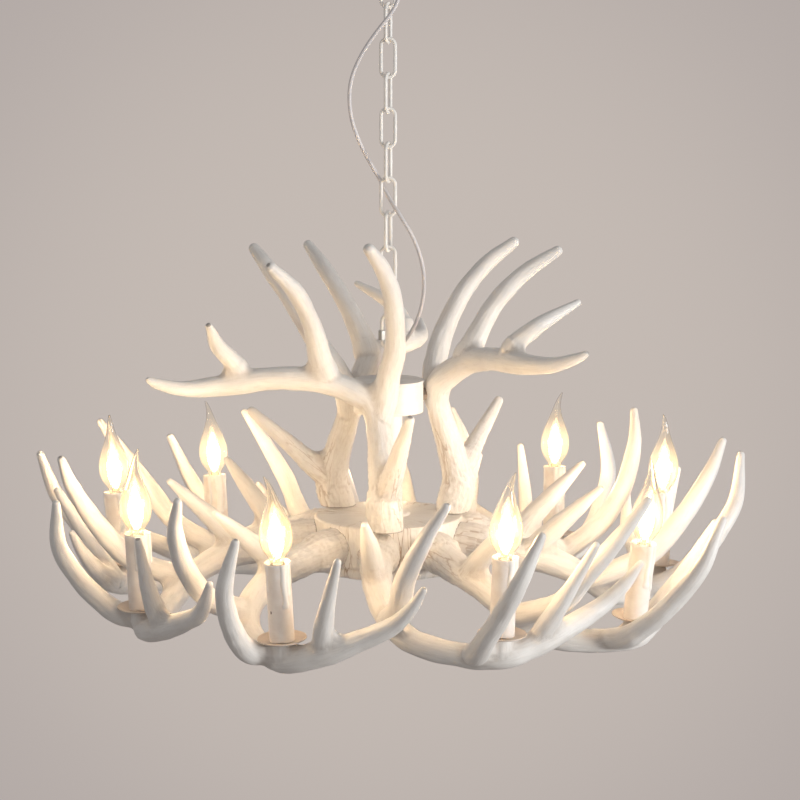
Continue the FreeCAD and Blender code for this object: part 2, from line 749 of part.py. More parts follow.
def upper_antler_bolts():
    head = seated_head((drum_dia / 2 - drum_wall) * cos(pi / wide_sides))
    length = drum_dia / 2 + upper_drum_gap - head + short_grip
    radial = [radial_bolt(drum_bolt_azimuth(azimuth), drum_bolt_height, head, length)
              for azimuth in upper_turns]
    upright = [bolt(hub_top + short_grip).translated(upper_foot(azimuth) - V(0, 0, hub_top))
               for azimuth in upper_turns]
    return radial + upright


def drum_spacers():
    """Six-sided spacers between the drum and the upper antlers."""
    spacers = []
    for azimuth in upper_turns:
        ends = (drum_dia / 2, drum_dia / 2 + upper_drum_gap)
        bar = radial_bar(drum_bolt_azimuth(azimuth), drum_bolt_height, spacer_across, *ends, 6)
        bore = radial_bar(drum_bolt_azimuth(azimuth), drum_bolt_height, bolt_dia + body_gap, *ends, 6)
        spacers.append(bar.cut(bore))
    return spacers


def candle_frame(azimuth):
    """Placement whose origin is the plate's seat and whose Z is the candle's axis."""
    frame = lower_frame(azimuth)
    seat = frame.multVec(own(lower_seat))
    return FreeCAD.Placement(seat, FreeCAD.Rotation(UP, frame.multVec(own(lower_axis_top)) - seat))


def on_candle(azimuth, shape):
    copy = shape.copy()
    copy.Placement = candle_frame(azimuth).multiply(shape.Placement)
    return copy


sleeve_low = plate_thick
sleeve_high = sleeve_low + sleeve_length
socket_high = sleeve_high - socket_sink
socket_low = socket_high - socket_length


def candle_sleeve():
    return tube(sleeve_dia, sleeve_bore, sleeve_low, sleeve_high, sleeve_sides)


def drip_plate():
    """Spun dish with an upturned rim and a hole for the lampholder's foot screw."""
    rim = plate_dia / 2
    hole = screw_dia / 2 / cos(pi / 6) + body_gap
    return turned([(hole, 0), (plate_seat / 2, 0), (rim, plate_rim - plate_thick), (rim, plate_rim),
                   (plate_seat / 2 + 1, plate_thick), (hole, plate_thick)], sleeve_sides)


def lamp_socket():
    outer = prism(8, socket_dia, socket_low, socket_high)
    return outer.cut(prism(8, socket_bore, socket_low + socket_floor, socket_high))


def socket_bracket():
    """Flat strap under the socket, bent over at its foot where a screw holds it."""
    back = -bracket_back
    front = bracket_back + 1
    top = socket_low - bracket_thick
    foot = sleeve_low + bracket_thick
    outline = [(back, sleeve_low), (front, sleeve_low), (front, foot), (back + bracket_thick, foot),
               (back + bracket_thick, top), (front, top), (front, socket_low), (back, socket_low)]
    corners = [V(x, -bracket_width / 2, z) for x, z in outline]
    strap = Part.Face(Part.makePolygon(corners + corners[:1])).extrude(V(0, bracket_width, 0))
    return strap.cut(prism(6, screw_dia + body_gap, sleeve_low, foot))


def foot_screw():
    """Screw through bracket and plate into the antler's boss."""
    under_head = sleeve_low + bracket_thick
    head = prism(6, screw_across, under_head, under_head + screw_head_high)
    return head.fuse(prism(6, screw_dia, -screw_grip, under_head))


def bulb():
    """Clear candle lamp with a bent tip, its cap in the socket."""
    low = socket_high - bulb_cap_depth
    cap = bulb_cap_dia / 2
    glass = bulb_dia / 2
    lean = bulb_tip_lean
    top = socket_high
    high = bulb_high
    stations = [(0, low, cap), (0, top + 3, cap), (0, top + 9, cap * 1.25), (0, top + high * 0.22, glass * 0.9),
                (0, top + high * 0.34, glass), (0, top + high * 0.5, glass * 0.86),
                (lean * 0.05, top + high * 0.68, glass * 0.52), (lean * 0.3, top + high * 0.84, glass * 0.24),
                (lean, top + high, 1.2)]
    rings = [ring_about(V(x, 0, z), UP, V(1, 0, 0), radius, bulb_sides, i / 2)
             for i, (x, z, radius) in enumerate(stations)]
    return skin(rings)


# --- build -------------------------------------------------------------------------------------

os.makedirs("parts", exist_ok=True)

save("mounting_bar", mounting_bar())
save("hanging_stem", tube(stem_dia, stem_bore, stem_end, stem_top, small_sides))
save("stem_nut", stem_nut())
save("terminal_block", terminal_block())
save("supply_lead", supply_lead())
save("canopy", canopy())
save("canopy_collar", canopy_collar())
save("ceiling_loop", ceiling_loop())

save("chain_links", *chain_links())
save("quick_link", quick_link())
save("quick_link_nut", quick_link_nut())
save("cord", cord())

save("fixture_eye", fixture_eye())
save("cord_gland", cord_gland())
save("drum_lid", drum_lid())
save("drum", drum())
save("column", column())
save("column_flange", column_flange())
save("threaded_rod", threaded_rod())
save("rod_nuts", *rod_nuts())
save("hub", hub())
save("hub_cover", hub_cover())
save("cap_nut", cap_nut())

for number, azimuth in enumerate(lower_turns, 1):
    save(f"lower_antler_{number}", lower_antler(azimuth))
    save(f"candle_sleeve_{number}", on_candle(azimuth, candle_sleeve()))
    save(f"bulb_{number}", on_candle(azimuth, bulb().rotated(V(0, 0, 0), UP, number * bulb_turn)))
for number, azimuth in enumerate(upper_turns, 1):
    save(f"upper_antler_{number}", upper_antler(azimuth))
save("drip_plates", *[on_candle(azimuth, drip_plate()) for azimuth in lower_turns])
save("lamp_sockets", *[on_candle(azimuth, lamp_socket()) for azimuth in lower_turns])
save("socket_brackets", *[on_candle(azimuth, socket_bracket()) for azimuth in lower_turns])
save("foot_screws", *[on_candle(azimuth, foot_screw()) for azimuth in lower_turns])
save("lower_antler_bolts", *lower_antler_bolts())
save("upper_antler_bolts", *upper_antler_bolts())
save("drum_spacers", *drum_spacers())
print("sleeve plane", round(sleeve_plane, 2), "hub foot", round(hub_foot, 2))
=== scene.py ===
import math
import random

import bmesh
import bpy
import numpy as np
from mathutils import Matrix, Vector, kdtree, noise


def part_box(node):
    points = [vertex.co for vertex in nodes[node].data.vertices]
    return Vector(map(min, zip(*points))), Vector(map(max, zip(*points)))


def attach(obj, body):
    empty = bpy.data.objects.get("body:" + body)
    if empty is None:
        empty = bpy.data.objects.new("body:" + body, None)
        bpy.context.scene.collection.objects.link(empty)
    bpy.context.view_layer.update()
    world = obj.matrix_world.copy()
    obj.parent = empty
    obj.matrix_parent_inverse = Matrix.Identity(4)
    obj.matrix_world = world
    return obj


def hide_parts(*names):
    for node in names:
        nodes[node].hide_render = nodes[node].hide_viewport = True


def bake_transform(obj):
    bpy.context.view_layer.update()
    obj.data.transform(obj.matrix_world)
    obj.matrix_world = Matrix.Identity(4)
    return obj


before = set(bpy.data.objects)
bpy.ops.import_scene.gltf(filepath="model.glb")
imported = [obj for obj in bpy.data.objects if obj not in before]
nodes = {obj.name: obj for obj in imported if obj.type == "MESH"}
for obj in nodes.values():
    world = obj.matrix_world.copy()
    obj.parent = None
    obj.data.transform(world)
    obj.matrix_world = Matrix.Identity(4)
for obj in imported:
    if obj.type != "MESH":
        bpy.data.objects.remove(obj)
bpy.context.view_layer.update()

mm = 0.001
up = Vector((0, 0, 1))


def stageDone(words):
    print("scene:", words)


def linked(name, data):
    holder = bpy.data.objects.new(name, data)
    bpy.context.scene.collection.objects.link(holder)
    return holder


# camera: 3 m away, above the candles and looking a little down

view = {"place": (0.0134, -3.0, -0.0986), "tilt": 81.35, "lens": 119.33, "sensor": 36}


def makeCamera():
    data = bpy.data.cameras.new("camera")
    data.lens = view["lens"]
    data.sensor_width = view["sensor"]
    camera = linked("camera", data)
    camera.location = view["place"]
    camera.rotation_euler = (math.radians(view["tilt"]), 0, 0)
    bpy.context.scene.camera = camera


makeCamera()
stageDone("camera")

# heights that the frame gives, in metres

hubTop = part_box("hub")[1].z
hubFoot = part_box("hub")[0].z
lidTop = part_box("drum_lid")[1].z
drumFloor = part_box("drum")[0].z
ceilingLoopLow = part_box("ceiling_loop")[0].z
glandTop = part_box("cord_gland")[1].z
sleevePlane = hubTop + 12 * mm


# forms are pairs of points and faces

def joined(forms):
    points, faces = [], []
    for some, more in forms:
        start = len(points)
        points.extend(some)
        faces.extend([[i + start for i in face] for face in more])
    return points, faces


def moved(form, matrix):
    return [matrix @ Vector(p) for p in form[0]], form[1]


def lifted(form, height):
    return moved(form, Matrix.Translation((0, 0, height)))


def turnAngles(sides):
    return [2 * math.pi * k / sides for k in range(sides)]


# four-sided faces between rows of points; closed also joins the last row to the first
def bandFaces(rows, sides, closed=True):
    faces = []
    for row in range(rows if closed else rows - 1):
        low, high = row * sides, (row + 1) % rows * sides
        for k in range(sides):
            after = (k + 1) % sides
            faces.append([low + k, low + after, high + after, high + k])
    return faces


# rounds the corners of a closed (radius, height) outline, apart from those on the axis
def eased(outline, radius, steps=3):
    out = []
    count = len(outline)
    for i, corner in enumerate(outline):
        here = Vector(corner)
        back = Vector(outline[i - 1]) - here
        onward = Vector(outline[(i + 1) % count]) - here
        trim = min(radius, 0.42 * back.length, 0.42 * onward.length)
        if corner[0] < 1e-6 or trim < 1e-6 or back.angle(onward) > 2.9:
            out.append(tuple(here))
            continue
        a = here + back.normalized() * trim
        b = here + onward.normalized() * trim
        for k in range(steps + 1):
            t = k / steps
            out.append(tuple(a * (1 - t) ** 2 + here * 2 * t * (1 - t) + b * t ** 2))
    return out


# closed (radius, height) outline, in metres, turned about Z
def turnedForm(outline, sides):
    points, faces, rows = [], [], []
    for radius, height in outline:
        if radius < 1e-6:
            rows.append([len(points)] * sides)
            points.append((0, 0, height))
            continue
        rows.append(list(range(len(points), len(points) + sides)))
        points += [(radius * math.cos(a), radius * math.sin(a), height) for a in turnAngles(sides)]
    for low, high in zip(rows, rows[1:] + rows[:1]):
        for k in range(sides):
            after = (k + 1) % sides
            face = list(dict.fromkeys((low[k], low[after], high[after], high[k])))
            if len(face) > 2:
                faces.append(face)
    return points, faces


# outline in millimetres with its corners rounded, turned about Z and lifted to a height in metres
def turned(outline, sides, height=0.0, rounding=0.0):
    if rounding:
        outline = eased(outline, rounding)
    form = turnedForm([(r * mm, z * mm) for r, z in outline], sides)
    return lifted(form, height) if height else form


# round bar along centres; open ends are domed
def sweptForm(centres, radii, sides=14, closed=False):
    centres = [Vector(c) for c in centres]
    if not hasattr(radii, "__len__"):
        radii = [radii] * len(centres)
    count = len(centres)
    across = None
    rings = []
    for i, centre in enumerate(centres):
        if closed:
            ahead = centres[(i + 1) % count] - centres[i - 1]
        else:
            ahead = centres[min(i + 1, count - 1)] - centres[max(i - 1, 0)]
        ahead.normalize()
        if across is None:
            across = ahead.orthogonal().normalized()
        across = (across - ahead * across.dot(ahead)).normalized()
        rings.append((centre, ahead, across.copy(), radii[i]))
    if closed:  # spreads the twist that is left over the whole loop
        first = rings[0]
        last = (across - first[1] * across.dot(first[1])).normalized()
        twist = math.atan2(first[1].dot(last.cross(first[2])), last.dot(first[2]))
        rings = [(c, a, Matrix.Rotation(twist * i / count, 3, a) @ x, r)
                 for i, (c, a, x, r) in enumerate(rings)]
    else:
        for end, sign in ((0, -1), (-1, 1)):
            c, a, x, r = rings[end]
            dome = [(c + a * sign * r * math.sin(t), a, x, r * math.cos(t)) for t in (0.5, 1.0, 1.4)]
            rings = dome[::-1] + rings if end == 0 else rings + dome
    points = []
    for centre, ahead, side, radius in rings:
        other = ahead.cross(side)
        for a in turnAngles(sides):
            points.append(centre + (side * math.cos(a) + other * math.sin(a)) * radius)
    faces = bandFaces(len(rings), sides, closed)
    if not closed:
        faces.append(list(range(sides))[::-1])
        faces.append([(len(rings) - 1) * sides + k for k in range(sides)])
    return points, faces


# rows along a smooth curve through the given rows; cuts says how many lie from one to the next
def smoothRows(given, cuts):
    padded = np.vstack([2 * given[0] - given[1], given, 2 * given[-1] - given[-2]])
    out = []
    for a, b, c, d in zip(padded, padded[1:], padded[2:], padded[3:]):
        count = cuts(b, c)
        for k in range(count):
            t = k / count
            out.append(0.5 * (2 * b + (c - a) * t + (2 * a - 5 * b + 4 * c - d) * t ** 2
                              + (3 * b - a - 3 * c + d) * t ** 3))
    return np.array(out + [given[-1]])


def nearestOf(places):
    tree = kdtree.KDTree(len(places))
    for i, place in enumerate(places):
        tree.insert(place, i)
    tree.balance()
    return tree


def giveValues(mesh, name, values):
    kind, field = ("FLOAT_VECTOR", "vector") if np.ndim(values) == 2 else ("FLOAT", "value")
    layer = mesh.attributes.new(name, kind, "POINT")
    layer.data.foreach_set(field, np.array(values, np.float32).ravel())


def meshOf(name, form):
    mesh = bpy.data.meshes.new(name)
    mesh.from_pydata([tuple(p) for p in form[0]], [], form[1])
    return mesh


def finishPiece(name, mesh, body, material, replaced, smoothAngle):
    mesh.shade_smooth()
    mesh.set_sharp_from_angle(angle=math.radians(smoothAngle))
    piece = linked(name, mesh)
    mesh.materials.clear()
    mesh.materials.append(material)
    if body:
        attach(piece, body)
    if replaced:
        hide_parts(*replaced)
    return piece


def makePiece(name, form, body, material, replaced=(), smoothAngle=38):
    mesh = meshOf(name, form)
    outward = bmesh.new()
    outward.from_mesh(mesh)
    bmesh.ops.recalc_face_normals(outward, faces=outward.faces)
    outward.to_mesh(mesh)
    outward.free()
    return finishPiece(name, mesh, body, material, replaced, smoothAngle)


# shader node groups and materials

# links or sets a node's inputs, named with _ for a space or numbered as i0, i1
def give(tree, node, **inputs):
    for key, value in inputs.items():
        socket = node.inputs[int(key[1:]) if key[1:].isdigit() else key.replace("_", " ")]
        if isinstance(value, bpy.types.NodeSocket):
            tree.links.new(value, socket)
        else:
            socket.default_value = value


def addNode(tree, kind, settings=None, **inputs):
    node = tree.nodes.new("ShaderNode" + kind)
    node.location = (220 * (len(tree.nodes) % 7), -260 * (len(tree.nodes) // 7))
    for key, value in (settings or {}).items():
        setattr(node, key, value)
    give(tree, node, **inputs)
    return node


def mathNode(tree, operation, a, b, clamp=False):
    return addNode(tree, "Math", {"operation": operation, "use_clamp": clamp}, i0=a, i1=b).outputs[0]


def times(tree, a, b, clamp=False):
    return mathNode(tree, "MULTIPLY", a, b, clamp)


def plus(tree, a, b, clamp=False):
    return mathNode(tree, "ADD", a, b, clamp)


def ramp(tree, value, low, high, toLow=0.0, toHigh=1.0):
    node = addNode(tree, "MapRange", {"interpolation_type": "SMOOTHSTEP"}, Value=value,
                   From_Min=low, From_Max=high, To_Min=toLow, To_Max=toHigh)
    return node.outputs[0]


def blendColour(tree, factor, a, b):
    return addNode(tree, "Mix", {"data_type": "RGBA"}, i0=factor, i6=a, i7=b).outputs[2]


def noiseNode(tree, vector, scale, detail, roughness=0.5):
    return addNode(tree, "TexNoise", Vector=vector, Scale=scale, Detail=detail, Roughness=roughness).outputs


def bumped(tree, height, distance, strength):
    return addNode(tree, "Bump", Height=height, Distance=distance, Strength=strength).outputs[0]


# linear colour of an sRGB one written in 0 to 255
def shade(r, g, b):
    out = []
    for value in (r, g, b):
        value /= 255
        out.append(value / 12.92 if value <= 0.04045 else ((value + 0.055) / 1.055) ** 2.4)
    return (*out, 1.0)


# each group takes a Vector and some numbers, and puts out masks
def makeGroup(name, numbers, masks):
    group = bpy.data.node_groups.new(name, "ShaderNodeTree")
    group.interface.new_socket("Vector", in_out="INPUT", socket_type="NodeSocketVector")
    for label, value in numbers.items():
        socket = group.interface.new_socket(label, in_out="INPUT", socket_type="NodeSocketFloat")
        socket.default_value = value
    for label in masks:
        group.interface.new_socket(label, in_out="OUTPUT", socket_type="NodeSocketFloat")
    return group, group.nodes.new("NodeGroupInput").outputs, group.nodes.new("NodeGroupOutput")


def useGroup(tree, group, **inputs):
    return addNode(tree, "Group", {"node_tree": group}, **inputs).outputs


# fine tooth of sprayed paint over slow patches
def makeGrainGroup():
    group, enter, leave = makeGroup("paintGrain", {"Fine": 900.0, "Broad": 22.0}, ["Tooth", "Patches"])
    fine = noiseNode(group, enter["Vector"], enter["Fine"], 3.0, 0.6)
    broad = noiseNode(group, enter["Vector"], enter["Broad"], 4.0, 0.55)
    give(group, leave, Tooth=fine[0], Patches=ramp(group, broad[0], 0.3, 0.7))
    return group


# broken hair cracks that run along the grain
def makeCrackGroup():
    group, enter, leave = makeGroup("hairCracks", {"Scale": 90.0, "Width": 0.05}, ["Mask"])
    warp = noiseNode(group, enter["Vector"], 160.0, 3.0)
    push = addNode(group, "VectorMath", {"operation": "MULTIPLY"}, i0=warp[1], i1=(0.006, 0.006, 0.006))
    bent = addNode(group, "VectorMath", {"operation": "ADD"}, i0=enter["Vector"], i1=push.outputs[0])
    cells = addNode(group, "TexVoronoi", {"feature": "DISTANCE_TO_EDGE"}, Vector=bent.outputs[0],
                    Scale=enter["Scale"])
    edge = addNode(group, "MapRange", Value=cells.outputs["Distance"], From_Min=0.0,
                   From_Max=enter["Width"], To_Min=1.0, To_Max=0.0)
    kept = ramp(group, noiseNode(group, enter["Vector"], 45.0, 2.0)[0], 0.48, 0.62)
    give(group, leave, Mask=times(group, edge.outputs[0], kept))
    return group


# long fibres: noise that is fine across the grain and slow along it
def makeStreakGroup():
    group, enter, leave = makeGroup("longFibres", {"Scale": 400.0}, ["Fibre", "Bands"])
    fibre = noiseNode(group, enter["Vector"], enter["Scale"], 4.0, 0.62)
    bands = noiseNode(group, enter["Vector"], times(group, enter["Scale"], 0.3), 2.0)
    give(group, leave, Fibre=fibre[0], Bands=bands[0])
    return group


paintGrain = makeGrainGroup()
hairCracks = makeCrackGroup()
longFibres = makeStreakGroup()


def startMaterial(name, **fixed):
    material = bpy.data.materials.new(name)
    material.use_nodes = True
    tree = material.node_tree
    tree.nodes.clear()
    shader = addNode(tree, "BsdfPrincipled", **fixed)
    addNode(tree, "OutputMaterial", Surface=shader.outputs[0])
    return material, tree, shader


# grain in the object's own directions
def ownGrain(tree, fine, broad):
    place = tree.nodes.new("ShaderNodeTexCoord").outputs["Object"]
    return useGroup(tree, paintGrain, Vector=place, Fine=fine, Broad=broad)


# reads what giveValues stored on the mesh
def carried(tree, name, output="Fac"):
    return addNode(tree, "Attribute", {"attribute_name": name}).outputs[output]


# the shadow colour is painted shade in the hollows, and also the darker tone of fibre streaks and patches
resinLook = {"paint": shade(241, 236, 229), "shadow": shade(212, 203, 193), "crack": shade(168, 142, 118),
             "wornTip": shade(146, 136, 127), "roughness": (0.33, 0.52), "gloss": 0.42, "tooth": 700.0,
             "patches": 26.0, "fibres": 520.0, "cracks": 150.0, "crackWidth": 0.07, "relief": 0.9 * mm}


# cast resin under satin paint, with long fibres, painted shade in the hollows and hair cracks near the base
def makeResin(name, barkCracks):
    look = resinLook
    material, tree, shader = startMaterial(name, Roughness=0.5, Specular_IOR_Level=look["gloss"])
    along = carried(tree, "grain", "Vector")
    bark = carried(tree, "bark")
    grain = ownGrain(tree, look["tooth"], look["patches"])
    fibres = useGroup(tree, longFibres, Vector=along, Scale=look["fibres"])
    cracks = useGroup(tree, hairCracks, Vector=along, Scale=look["cracks"], Width=look["crackWidth"])
    streaks = times(tree, ramp(tree, fibres["Fibre"], 0.45, 0.8), 0.4)
    # painted shade: the hollows are darkened towards the shadow colour; fibre streaks and patches add darker
    # tone at random
    worn = plus(tree, times(tree, carried(tree, "hollow"), 0.5), streaks, True)
    worn = plus(tree, worn, times(tree, grain["Patches"], 0.25), True)
    tone = blendColour(tree, worn, look["paint"], look["shadow"])
    lines = times(tree, cracks["Mask"], times(tree, ramp(tree, bark, 0.05, 0.7), barkCracks), True)
    tone = blendColour(tree, lines, tone, look["crack"])
    ragged = plus(tree, carried(tree, "tip"), times(tree, fibres["Fibre"], 0.3))
    tone = blendColour(tree, ramp(tree, ragged, 0.66, 0.92, 0.0, 0.75), tone, look["wornTip"])
    lumps = times(tree, fibres["Fibre"], plus(tree, times(tree, bark, 1.6), 0.45))
    height = plus(tree, lumps, times(tree, grain["Tooth"], 0.12))
    height = mathNode(tree, "SUBTRACT", height, times(tree, lines, 0.8))
    give(tree, shader, Base_Color=tone, Normal=bumped(tree, height, look["relief"], 0.75),
         Roughness=ramp(tree, fibres["Bands"], 0.35, 0.65, *look["roughness"]))
    return material


# paint or plating on a made piece: tooth (its height in millimetres), patches and a little uneven gloss
def makePainted(name, colour, dark, roughness, fine=900.0, tooth=0.12, metallic=0.0):
    material, tree, shader = startMaterial(name, Metallic=metallic)
    grain = ownGrain(tree, fine, 60.0)
    tone = blendColour(tree, times(tree, grain["Patches"], 0.6), shade(*colour), shade(*dark))
    give(tree, shader, Base_Color=tone, Normal=bumped(tree, grain["Tooth"], tooth * mm, 0.6),
         Roughness=ramp(tree, grain["Tooth"], 0.3, 0.7, *roughness))
    return material


antlerResin = makeResin("castAntler", 0.6)
hubResin = makeResin("castHub", 0.85)
whiteMetal = makePainted("whitePaintedMetal", (240, 235, 228), (226, 219, 210), (0.34, 0.5))
chainPaint = makePainted("chainPaint", (250, 246, 240), (232, 226, 217), (0.28, 0.42), 1200.0, 0.1)
zincSteel = makePainted("zincSteel", (196, 194, 188), (160, 158, 152), (0.28, 0.46), 1500.0, 0.05, 1.0)
darkSteel = makePainted("darkSteel", (120, 116, 110), (92, 88, 84), (0.32, 0.5), 1500.0, 0.05, 1.0)
creamMetal = makePainted("creamPlate", (226, 208, 190), (206, 186, 166), (0.35, 0.5), 900.0, 0.05)
spacerPaint = makePainted("spacerPaint", (150, 138, 127), (118, 106, 96), (0.4, 0.55), 1200.0, 0.08)
socketPlastic = makePainted("socketPlastic", (226, 220, 208), (206, 199, 186), (0.4, 0.55), 1400.0, 0.06)
blockPlastic = makePainted("blockPlastic", (226, 224, 216), (204, 202, 194), (0.35, 0.5), 1400.0, 0.05)


waxLook = {"ivory": shade(249, 240, 230), "shade": shade(238, 225, 213), "run": shade(253, 250, 244),
           "chip": shade(104, 62, 40), "gloss": 0.45, "dry": 0.5, "melted": 0.3, "tooth": 0.12 * mm}


# moulded ivory sleeve, glossier and paler where it looks melted, darker in its chip
def makeWax():
    look = waxLook
    material, tree, shader = startMaterial("waxSleeve", Specular_IOR_Level=look["gloss"])
    grain = ownGrain(tree, 500.0, 70.0)
    melt = carried(tree, "melt")
    tone = blendColour(tree, times(tree, grain["Patches"], 0.7), look["ivory"], look["shade"])
    tone = blendColour(tree, times(tree, melt, 0.7), tone, look["run"])
    tone = blendColour(tree, carried(tree, "chip"), tone, look["chip"])
    give(tree, shader, Base_Color=tone, Normal=bumped(tree, grain["Tooth"], look["tooth"], 0.5),
         Roughness=ramp(tree, melt, 0.0, 1.0, look["dry"], look["melted"]))
    return material


glassLook = {"halo": (0.27, 0.18, 0.08, 1), "clear": (1, 0.99, 0.97, 1), "tinged": (0.99, 0.965, 0.91, 1),
             "roughness": 0.03, "index": 1.45, "waves": 0.15 * mm}


# clear lamp glass, with a painted golden glow round its filament
def makeGlass():
    look = glassLook
    material, tree, shader = startMaterial("lampGlass", Roughness=look["roughness"], IOR=look["index"],
                                           Transmission_Weight=1.0, Emission_Strength=1.0)
    grain = ownGrain(tree, 300.0, 40.0)
    give(tree, shader, Emission_Color=blendColour(tree, carried(tree, "glow"), (0, 0, 0, 1), look["halo"]),
         Base_Color=blendColour(tree, grain["Patches"], look["clear"], look["tinged"]),
         Normal=bumped(tree, grain["Patches"], look["waves"], 0.3))
    return material


filamentLook = {"cooler": (1.0, 0.72, 0.36, 1), "hotter": (1.0, 0.82, 0.5, 1), "strength": 9.0}


def makeFilament():
    look = filamentLook
    material, tree, shader = startMaterial("hotFilament", Emission_Strength=look["strength"])
    hot = blendColour(tree, ownGrain(tree, 2000.0, 300.0)["Patches"], look["cooler"], look["hotter"])
    give(tree, shader, Emission_Color=hot, Base_Color=hot)
    return material


cordLook = {"sheath": shade(226, 220, 218), "shade": shade(206, 200, 200), "roughness": (0.32, 0.46),
            "twists": 12.0, "waves": 0.03 * mm}


# soft vinyl over two twisted cores that show through as slow waves
def makeSheath():
    look = cordLook
    material, tree, shader = startMaterial("cordSheath", Specular_IOR_Level=0.5)
    wave = addNode(tree, "TexWave", Vector=carried(tree, "grain", "Vector"), Scale=look["twists"],
                   Distortion=0.6).outputs["Fac"]
    grain = ownGrain(tree, 1300.0, 50.0)
    mask = plus(tree, times(tree, wave, 0.12), times(tree, grain["Patches"], 0.4), True)
    give(tree, shader, Base_Color=blendColour(tree, mask, look["sheath"], look["shade"]),
         Roughness=ramp(tree, grain["Tooth"], 0.3, 0.7, *look["roughness"]),
         Normal=bumped(tree, wave, look["waves"], 0.1))
    return material


waxSleeve = makeWax()
lampGlass = makeGlass()
hotFilament = makeFilament()
cordSheath = makeSheath()
stageDone("materials")

# cord: down from the bell, through the chain and out to the gland on the lid

cordRoute = [(0, 0, -41), (1, -1.5, -50), (6, -7, -61), (13, -12.5, -75), (15, -16.5, -93), (6, -18, -115),
             (-13.5, -18.5, -138), (-31, -15.5, -164), (-43.5, -13, -194), (-43, -9, -230), (-33, -1, -260),
             (-21, 9, -284), (-9, 10, -304), (1, -2, -324), (14, -14, -343), (31, -14.5, -371),
             (41, -7.5, -405), (40.5, 0, -440), (31, 8, -471), (14, 17.5, -496), (3.5, 22.8, -508.5),
             (0, 24, -518.5)]
cordFacts = {"diameter": 4.5 * mm, "length": 0.549, "inGland": 4 * mm, "sides": 16}


# points that Blender gives along the NURBS line whose control points are the route
def splinePoints(route):
    curve = bpy.data.curves.new("cordLine", "CURVE")
    curve.dimensions = "3D"
    curve.resolution_u = 10
    line = curve.splines.new("NURBS")
    line.points.add(len(route) - 1)
    for point, place in zip(line.points, route):
        point.co = (*place, 1)
    line.order_u = 3
    line.use_endpoint_u = True
    holder = linked("cordLine", curve)
    bpy.context.view_layer.update()
    mesh = bpy.data.meshes.new_from_object(holder)
    points = [v.co.copy() for v in mesh.vertices]
    bpy.data.objects.remove(holder)
    bpy.data.meshes.remove(mesh)
    return points


def makeCord():
    mouth = glandTop - cordFacts["inGland"]
    path = splinePoints([Vector(p) * mm for p in cordRoute] + [Vector((0, 24 * mm, mouth))])
    form = sweptForm(path, cordFacts["diameter"] / 2, cordFacts["sides"])
    piece = makePiece("suspensionCord", form, None, cordSheath, ["cord"], 80)
    reach = np.cumsum([0] + [(b - a).length for a, b in zip(path, path[1:])])
    line = nearestOf(path)
    twist = []
    for vertex in piece.data.vertices:
        place, k, _ = line.find(vertex.co)
        side = vertex.co - place
        twist.append((reach[k] * 6 + math.atan2(side.y, side.x) / 12, 0, 0))
    giveValues(piece.data, "grain", twist)
    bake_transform(piece)


makeCord()
stageDone("cord")

# antlers: smooth stems grown together, then fibres, lumps and bark
# points are (along, outward, up, radius) in millimetres for an antler at the front

lowerBase = [(-35, 68, -37, 20), (-42, 83, -39.5, 22.5), (-47, 92, -41, 23.5), (-53, 102, -43, 20),
             (-62, 121, -48, 18)]
lowerBeam = [(-79, 168, -59, 16), (-86, 210, -80, 14), (-74, 240, -101, 13.5), (-40, 276, -111, 13),
             (-4, 312, -110, 13.5), (35, 317, -100, 14), (71, 316, -87, 12), (116, 315, -66, 9.5),
             (141, 320, -44, 7), (157, 325, -22, 3.8)]
lowerTines = [
    [(-86, 204, -88, 9), (-92, 226, -80, 12.5), (-104, 280, -56, 12), (-112, 318, -15, 11),
     (-106, 352, 30, 8.5), (-92, 374, 67, 4.5)],
    [(-26, 288, -109, 9), (-35, 324, -101, 12.5), (-38, 352, -81, 11.5), (-35, 382, -50, 10.5),
     (-27, 408, -12, 9), (-8, 421, 38, 4.5)],
    [(38, 308, -102, 9), (45, 324, -80, 11.5), (58, 344, -45, 8.5), (81, 369, 12, 4)],
    [(-72, 144, -56, 10), (-82, 162, -36, 12.5), (-101, 194, -4, 9.5), (-118, 223, 24, 4)]]
lowerPivot = (-44, 90, -40)
lowerSeat = (-3, 318.5, -87)  # middle of the drip plate's seat
lowerAxisTop = (-3, 326, 1)  # a point further up the candle's axis
# degrees round the ring, then degrees that each antler is turned, rolled and pitched from its true place
lowerTurns = {-140: (-2, -2, -2.5), -100: (3, -1, 0.5), -60: (-2.5, 2.5, 1), -20: (1, -1, -0.5),
              20: (-2.5, 0, 0.5), 60: (4, -0.5, -2), 100: (1, 2.5, 1.5), 140: (0, 2.5, 0.5),
              180: (-1, 0, -3.5)}
upperPivot = (0, 58, 125)
upperTrunk = [(0, 82, -16, 19), (0, 87, 2, 20.5), (0, 91, 16, 20), (1, 88, 32, 17), (0, 79, 62, 16),
              (-5, 62, 104, 13.5), (-11, 57, 124, 14), (-24, 56, 138, 15), (-61, 67, 157, 14),
              (-108, 74, 164, 13), (-151, 77, 162.5, 13), (-188, 86, 159.5, 11), (-218, 100, 160, 8.5),
              (-240, 116, 167.5, 6), (-249, 124, 173, 3.4)]
upperTines = [
    [(0, 80, 26, 9), (8, 96, 34, 13.5), (30, 132, 76, 9.5), (49, 163, 113, 5.5)],
    [(-3, 66, 92, 9), (-1, 60, 112, 13), (4, 58, 132, 14), (11, 63, 156, 13.5), (24, 78, 192, 12),
     (30, 105, 240, 10.5), (27, 134, 275, 9.5), (18, 163, 300, 6.5)],
    [(-56, 64, 152, 9), (-59, 69, 165, 15.5), (-62, 76, 180, 13.5), (-65, 98, 222, 10.5),
     (-74, 130, 260, 9.5), (-91, 166, 288, 6)],
    [(-150, 74, 162, 7), (-154, 78, 172, 13), (-160, 85, 185, 10.5), (-171, 110, 206, 8.5),
     (-168, 154, 229, 3.8)]]
# the same, and how far each is lifted, in millimetres
upperTurns = {-8: (3, -5, 5, -2), 112: (0, 6, -4, 3), -128: (-2.5, 4, -2.5, -6)}

